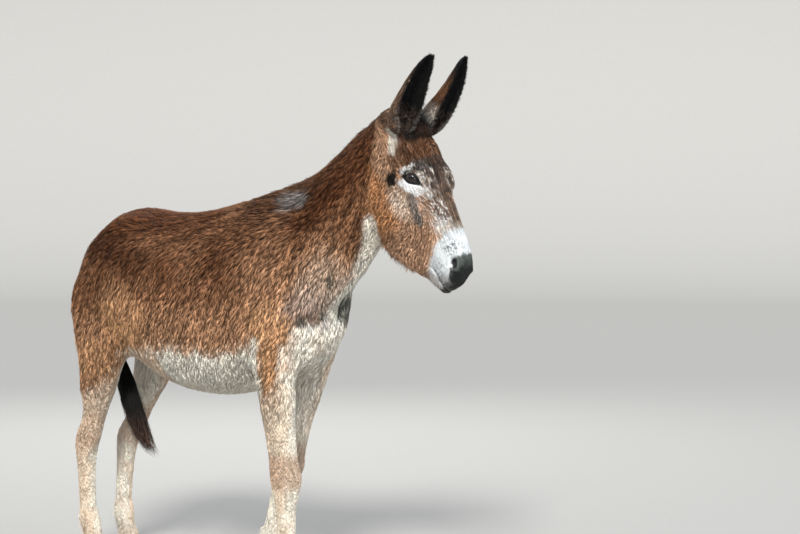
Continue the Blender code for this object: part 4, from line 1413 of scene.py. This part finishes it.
# %% Eyeballs
eyes = []
for side, (centre, along, lift, outward) in EYES.items():
    bpy.ops.object.select_all(action="DESELECT")
    bpy.ops.mesh.primitive_uv_sphere_add(segments=72, ring_count=48, radius=EYE_RADIUS)
    eye = bpy.context.object
    eye.name = f"eye_ball_{side}"
    facing = Vector(outward).to_track_quat("Z", "Y").to_matrix().to_4x4()
    eye.matrix_world = Matrix.Translation(Vector(centre)) @ facing
    bpy.ops.object.transform_apply(location=True, rotation=True, scale=True)
    points = read_points(eye.data)
    away = points - centre
    front = (away @ outward) / EYE_RADIUS
    write_points(eye.data, points + unit(away) * (0.0011 * step(front, 0.80, 0.97))[:, None])
    place = np.column_stack((away @ along, away @ lift, away @ outward)) / EYE_RADIUS
    layer = eye.data.attributes.new("eye_place", "FLOAT_VECTOR", "POINT")
    layer.data.foreach_set("vector", place.astype(np.float32).ravel())
    eye.data.shade_smooth()
    eyes.append(eye)
print("eyes:", [e.name for e in eyes])

# %% [markdown]
# ## Hooves
# A donkey's hoof is small, upright and boxy. Each starts as a cylinder of the size of its solid,
# gets level rings by cuts, and is then shaped: narrower and further back at the coronet, flat on
# the ground, with a notch between the heels, and faint growth rings.

# %% Hooves
HOOF_CUTS = 14
SLIMMING = 0.27  # how much narrower the coronet is
BOXINESS = 2.6
RING_DEPTH = 0.006
HEEL_NOTCH = 0.16
LEAN = 0.22  # how far back the coronet lies, in halves of the hoof
hooves = []
for kind in ("fore", "hind"):
    for side in SIDES:
        low, high = (np.array(corner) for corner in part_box(f"hoof_{kind}_{side}"))
        middle, half = (low + high) / 2, (high - low) / 2
        bpy.ops.object.select_all(action="DESELECT")
        bpy.ops.mesh.primitive_cylinder_add(vertices=56, radius=1, depth=2)
        hoof = bpy.context.object
        hoof.name = f"hoof_wall_{kind}_{side}"
        with editing(hoof):
            for k in range(1, HOOF_CUTS):
                bpy.ops.mesh.bisect(plane_co=(0, 0, -1 + 2 * k / HOOF_CUTS), plane_no=(0, 0, 1))
                bpy.ops.mesh.select_all(action="SELECT")
            bpy.ops.mesh.normals_make_consistent(inside=False)
        bevel = hoof.modifiers.new("edge", "BEVEL")
        bevel.width = 0.05
        bevel.segments = 3
        apply_all(hoof)
        points = read_points(hoof.data)
        up = (points[:, 2] + 1) / 2
        turned = np.arctan2(points[:, 1], points[:, 0])
        slim = 1 - SLIMMING * up
        boxy = (np.abs(np.cos(turned)) ** BOXINESS + np.abs(np.sin(turned)) ** BOXINESS) ** (-1 / BOXINESS)
        rings = 1 + RING_DEPTH * np.sin(up * 42) * step(up, 1.0, 0.85) * step(up, 0.0, 0.1)
        heel = HEEL_NOTCH * bump(np.abs(np.abs(turned) - math.pi) / 0.42) * step(np.cos(turned), 0.0, -0.8)
        reach = boxy * slim * rings * (1 - heel)
        out = np.column_stack((points[:, 0] * reach - LEAN * up, points[:, 1] * reach, points[:, 2]))
        write_points(hoof.data, middle + out * half)
        hoof.data.shade_smooth()
        hooves.append(hoof)
print("hooves:", len(hooves), "of", len(hooves[0].data.polygons), "faces")

# %% [markdown]
# ## Finishes
# Hair, skin, horn and floor share a grain that breaks up a colour at a chosen scale, so it is a node
# group. A second group makes the fine relief of the skin. Gloss and the like are the same all over a
# piece, so they are set on the shader itself.

# %% Helpers for nodes and groups
GROUPS = {}


def start_group(name, output, **inputs):
    """A group with one output. A value that is a tuple makes its input a colour."""
    group = bpy.data.node_groups.new(name, "ShaderNodeTree")
    for socket, value in inputs.items():
        kind = "NodeSocketColor" if isinstance(value, tuple) else "NodeSocketFloat"
        made = group.interface.new_socket(socket, in_out="INPUT", socket_type=kind)
        made.default_value = value
    kind = "NodeSocketColor" if output == "Color" else "NodeSocketFloat"
    group.interface.new_socket(output, in_out="OUTPUT", socket_type=kind)
    GROUPS[name] = group
    return group, group.nodes.new("NodeGroupInput"), group.nodes.new("NodeGroupOutput")


def add_node(tree, kind, inputs=None, **settings):
    """A shader node with its settings, and values for its inputs."""
    node = tree.nodes.new("ShaderNode" + kind)
    for key, value in settings.items():
        setattr(node, key, value)
    for key, value in (inputs or {}).items():
        node.inputs[key].default_value = value
    return node


def add_ramp(tree, *stops):
    """A colour ramp between two stops, each with its place and colour."""
    ramp = add_node(tree, "ValToRGB")
    for element, (place, colour) in zip(ramp.color_ramp.elements, stops):
        element.position = place
        element.color = (*colour, 1)
    return ramp


def wire(tree, *links):
    """Link nodes, each link given as a node, its output, the next node and its input."""
    for node, out, after, into in links:
        tree.links.new(node.outputs[out], after.inputs[into])


# %% Shared node groups
def build_grain():
    """Multiplies a colour by a grain of dark and light flecks."""
    group, inward, out = start_group("grain", "Color", Color=(1, 1, 1, 1), Scale=300.0, Depth=0.3)
    place = add_node(group, "TexCoord")
    noise = add_node(group, "TexNoise", {"Detail": 3})
    spread = add_node(group, "MapRange", {"From Min": 0.25, "From Max": 0.75})
    less = add_node(group, "Math", {0: 1}, operation="SUBTRACT")
    more = add_node(group, "Math", {0: 1}, operation="ADD")
    scaled = add_node(group, "VectorMath", operation="SCALE")
    wire(group, (place, "Object", noise, "Vector"), (inward, "Scale", noise, "Scale"),
         (noise, "Fac", spread, "Value"), (inward, "Depth", less, 1), (inward, "Depth", more, 1),
         (less, 0, spread, "To Min"), (more, 0, spread, "To Max"), (inward, "Color", scaled, 0),
         (spread, "Result", scaled, "Scale"), (scaled, "Vector", out, "Color"))


def build_relief():
    """A height made of pores and finer noise."""
    group, inward, out = start_group("relief", "Height", Scale=400.0, Pores=0.5)
    place = add_node(group, "TexCoord")
    pores = add_node(group, "TexVoronoi")
    noise = add_node(group, "TexNoise", {"Detail": 4})
    finer = add_node(group, "Math", {1: 0.6}, operation="MULTIPLY")
    blend = add_node(group, "Mix")
    wire(group, (place, "Object", pores, "Vector"), (place, "Object", noise, "Vector"),
         (inward, "Scale", pores, "Scale"), (inward, "Scale", finer, 0), (finer, 0, noise, "Scale"),
         (inward, "Pores", blend, 0), (noise, "Fac", blend, 2), (pores, "Distance", blend, 3),
         (blend, 0, out, "Height"))


build_grain()
build_relief()
print("node groups:", sorted(GROUPS))


# %% Hair and skin
def start_material(name, roughness, specular, **more):
    """A plain finish. Spaces in the names of more inputs are given as underscores."""
    material = bpy.data.materials.new(name)
    material.use_nodes = True
    shader = material.node_tree.nodes["Principled BSDF"]
    shader.inputs["Roughness"].default_value = roughness
    shader.inputs["Specular IOR Level"].default_value = specular
    for key, value in more.items():
        shader.inputs[key.replace("_", " ")].default_value = value
    return material, material.node_tree, shader


def place_group(tree, name, **values):
    return add_node(tree, "Group", values, node_tree=GROUPS[name])


def painted(name, roughness, grain, depth, specular, relief=None):
    """A finish whose colour is the one kept at each point, with grain, and a relief if asked for."""
    material, tree, shader = start_material(name, roughness, specular)
    colour = add_node(tree, "Attribute", attribute_name="coat")
    flecks = place_group(tree, "grain", Scale=grain, Depth=depth)
    wire(tree, (colour, "Color", flecks, "Color"), (flecks, "Color", shader, "Base Color"))
    if relief:
        pores = place_group(tree, "relief", Scale=relief, Pores=0.55)
        raised = add_node(tree, "Bump", {"Distance": 0.0004, "Strength": 0.8})
        wire(tree, (pores, "Height", raised, "Height"), (raised, "Normal", shader, "Normal"))
    return material


coat_finish = painted("coat_hair", 0.75, 260, 0.16, 0.10)
long_finish = painted("long_hair", 0.55, 320, 0.18, 0.18)
skin_finish = painted("skin", 0.60, 420, 0.14, 0.25, relief=620)


# %% Eyes
def eye_finish():
    """A level pupil in a dark brown iris with fine rays, and a brownish white round it."""
    material, tree, shader = start_material("eye", 0.12, 0.25, Coat_Weight=0.6, Coat_Roughness=0.02)
    place = add_node(tree, "Attribute", attribute_name="eye_place")
    stretched = add_node(tree, "VectorMath", {1: (1.0, 1.85, 0.0)}, operation="MULTIPLY")
    pupil = add_node(tree, "VectorMath", operation="LENGTH")
    level = add_node(tree, "VectorMath", {1: (1.0, 1.12, 0.0)}, operation="MULTIPLY")
    iris = add_node(tree, "VectorMath", operation="LENGTH")
    rays = add_node(tree, "TexNoise", {"Scale": 9, "Detail": 5})
    ramp = add_ramp(tree, (0.0, (0.005, 0.003, 0.002)), (1.0, (0.028, 0.013, 0.006)))
    smooth = {"interpolation_type": "SMOOTHSTEP"}
    in_pupil = add_node(tree, "MapRange", {"From Min": 0.36, "From Max": 0.42}, **smooth)
    with_pupil = add_node(tree, "Mix", {6: (0.002, 0.002, 0.003, 1)}, data_type="RGBA")
    in_iris = add_node(tree, "MapRange", {"From Min": 0.70, "From Max": 0.80}, **smooth)
    with_white = add_node(tree, "Mix", {7: (0.030, 0.022, 0.018, 1)}, data_type="RGBA")
    wire(tree, (place, "Vector", stretched, 0), (stretched, "Vector", pupil, 0),
         (place, "Vector", level, 0), (level, "Vector", iris, 0), (place, "Vector", rays, "Vector"),
         (rays, "Fac", ramp, "Fac"), (pupil, "Value", in_pupil, "Value"),
         (in_pupil, "Result", with_pupil, 0), (ramp, "Color", with_pupil, 7),
         (iris, "Value", in_iris, "Value"), (in_iris, "Result", with_white, 0),
         (with_pupil, 2, with_white, 6), (with_white, 2, shader, "Base Color"))
    return material


# %% Hooves
def hoof_finish():
    """Dark horn with upright fibres, level rings and paler worn patches."""
    material, tree, shader = start_material("hoof_horn", 0.52, 0.4)
    place = add_node(tree, "TexCoord")
    stretch = add_node(tree, "Mapping", {"Scale": (260, 260, 18)})
    fibres = add_node(tree, "TexNoise", {"Scale": 1})
    flatten = add_node(tree, "Mapping", {"Scale": (8, 8, 240)})
    rings = add_node(tree, "TexNoise", {"Scale": 1})
    ramp = add_ramp(tree, (0.3, (0.020, 0.017, 0.015)), (0.75, (0.120, 0.100, 0.080)))
    total = add_node(tree, "Math", operation="ADD")
    halved = add_node(tree, "Math", {1: 0.5}, operation="MULTIPLY")
    flecks = place_group(tree, "grain", Scale=180, Depth=0.25)
    raised = add_node(tree, "Bump", {"Distance": 0.0007})
    wire(tree, (place, "Object", stretch, "Vector"), (stretch, "Vector", fibres, "Vector"),
         (place, "Object", flatten, "Vector"), (flatten, "Vector", rings, "Vector"),
         (fibres, "Fac", total, 0), (rings, "Fac", total, 1), (total, 0, halved, 0),
         (halved, 0, ramp, "Fac"), (ramp, "Color", flecks, "Color"),
         (flecks, "Color", shader, "Base Color"), (halved, 0, raised, "Height"),
         (raised, "Normal", shader, "Normal"))
    return material


# %% Give each piece its finish
def dress(ob, material):
    ob.data.materials.clear()
    ob.data.materials.append(material)
    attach(ob, "root")


dress(skin, skin_finish)
for piece in coat + beard_parts:
    dress(piece, coat_finish)
for piece in (mane, forelock, tail, ear_fringe, ear_hair, lashes):
    dress(piece, long_finish)
ball_finish = eye_finish()
for eye in eyes:
    dress(eye, ball_finish)
horn_finish = hoof_finish()
for hoof in hooves:
    dress(hoof, horn_finish)
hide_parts(*FLESH)
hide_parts("mane")
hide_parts("tail_switch")
for eye in eyes:
    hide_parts(eye.name.replace("_ball", ""))
for hoof in hooves:
    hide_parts(hoof.name.replace("_wall", ""))
print("pieces:", 1 + len(coat) + len(beard_parts) + 6 + len(eyes) + len(hooves))

# %% [markdown]
# ## Floor and light
# A plain pale floor, and the light of a studio: a soft key high on the camera's side of the animal,
# a weak lamp ahead of it, and one behind that draws a rim along its back.

# %% Floor that curves up into a wall
SWEEP = 10  # rings in the curve from the floor to the wall
FLOOR_RADIUS = 15
CURVE = 5  # radius of that curve
bpy.ops.object.select_all(action="DESELECT")
bpy.ops.mesh.primitive_circle_add(vertices=96, radius=FLOOR_RADIUS, fill_type="NGON")
floor = bpy.context.object
floor.name = "floor"
with editing(floor, "DESELECT"):
    bpy.ops.mesh.select_mode(type="EDGE")
    bpy.ops.mesh.select_non_manifold()
    for k in range(SWEEP):
        low, high = (math.radians(90 * j / SWEEP) for j in (k, k + 1))
        rise = CURVE * (math.cos(low) - math.cos(high))
        grow = (FLOOR_RADIUS + CURVE * math.sin(high)) / (FLOOR_RADIUS + CURVE * math.sin(low))
        bpy.ops.mesh.extrude_edges_move(TRANSFORM_OT_translate={"value": (0, 0, rise)})
        bpy.ops.transform.resize(value=(grow, grow, 1))
floor.data.shade_smooth()
floor_finish, tree, shader = start_material("pale_floor", 0.80, 0.1)
pale = add_node(tree, "RGB")
pale.outputs[0].default_value = (0.31, 0.31, 0.305, 1)
flecks = place_group(tree, "grain", Scale=40, Depth=0.02)
wire(tree, (pale, 0, flecks, "Color"), (flecks, "Color", shader, "Base Color"))
floor.data.materials.append(floor_finish)
print("floor:", len(floor.data.polygons), "faces")


# %% Light
AIM = Vector((0, 0, 0.9))
LAMPS = (
    ("key", "SUN", (3.7, -5.0, 5.2), 5.0, (1.0, 0.97, 0.92), "angle", math.radians(14)),
    ("ahead", "AREA", (5.2, 0.4, 1.6), 150, (0.92, 0.96, 1.0), "size", 3.5),
    ("behind", "AREA", (-3.6, 3.2, 3.6), 150, (1.0, 0.98, 0.95), "size", 3.0),
)
for name, kind, place, power, colour, measure, value in LAMPS:
    light_data = bpy.data.lights.new(name, kind)
    light_data.energy = power
    light_data.color = colour
    setattr(light_data, measure, value)
    lamp = add_object(name, light_data)
    lamp.location = place
    lamp.rotation_euler = (AIM - Vector(place)).to_track_quat("-Z", "Y").to_euler()

world = bpy.data.worlds.new("studio")
bpy.context.scene.world = world
world.use_nodes = True
sky = world.node_tree.nodes["Background"]
sky.inputs["Color"].default_value = (0.86, 0.89, 0.93, 1)
sky.inputs["Strength"].default_value = 0.95
bpy.context.scene.view_settings.view_transform = "Standard"
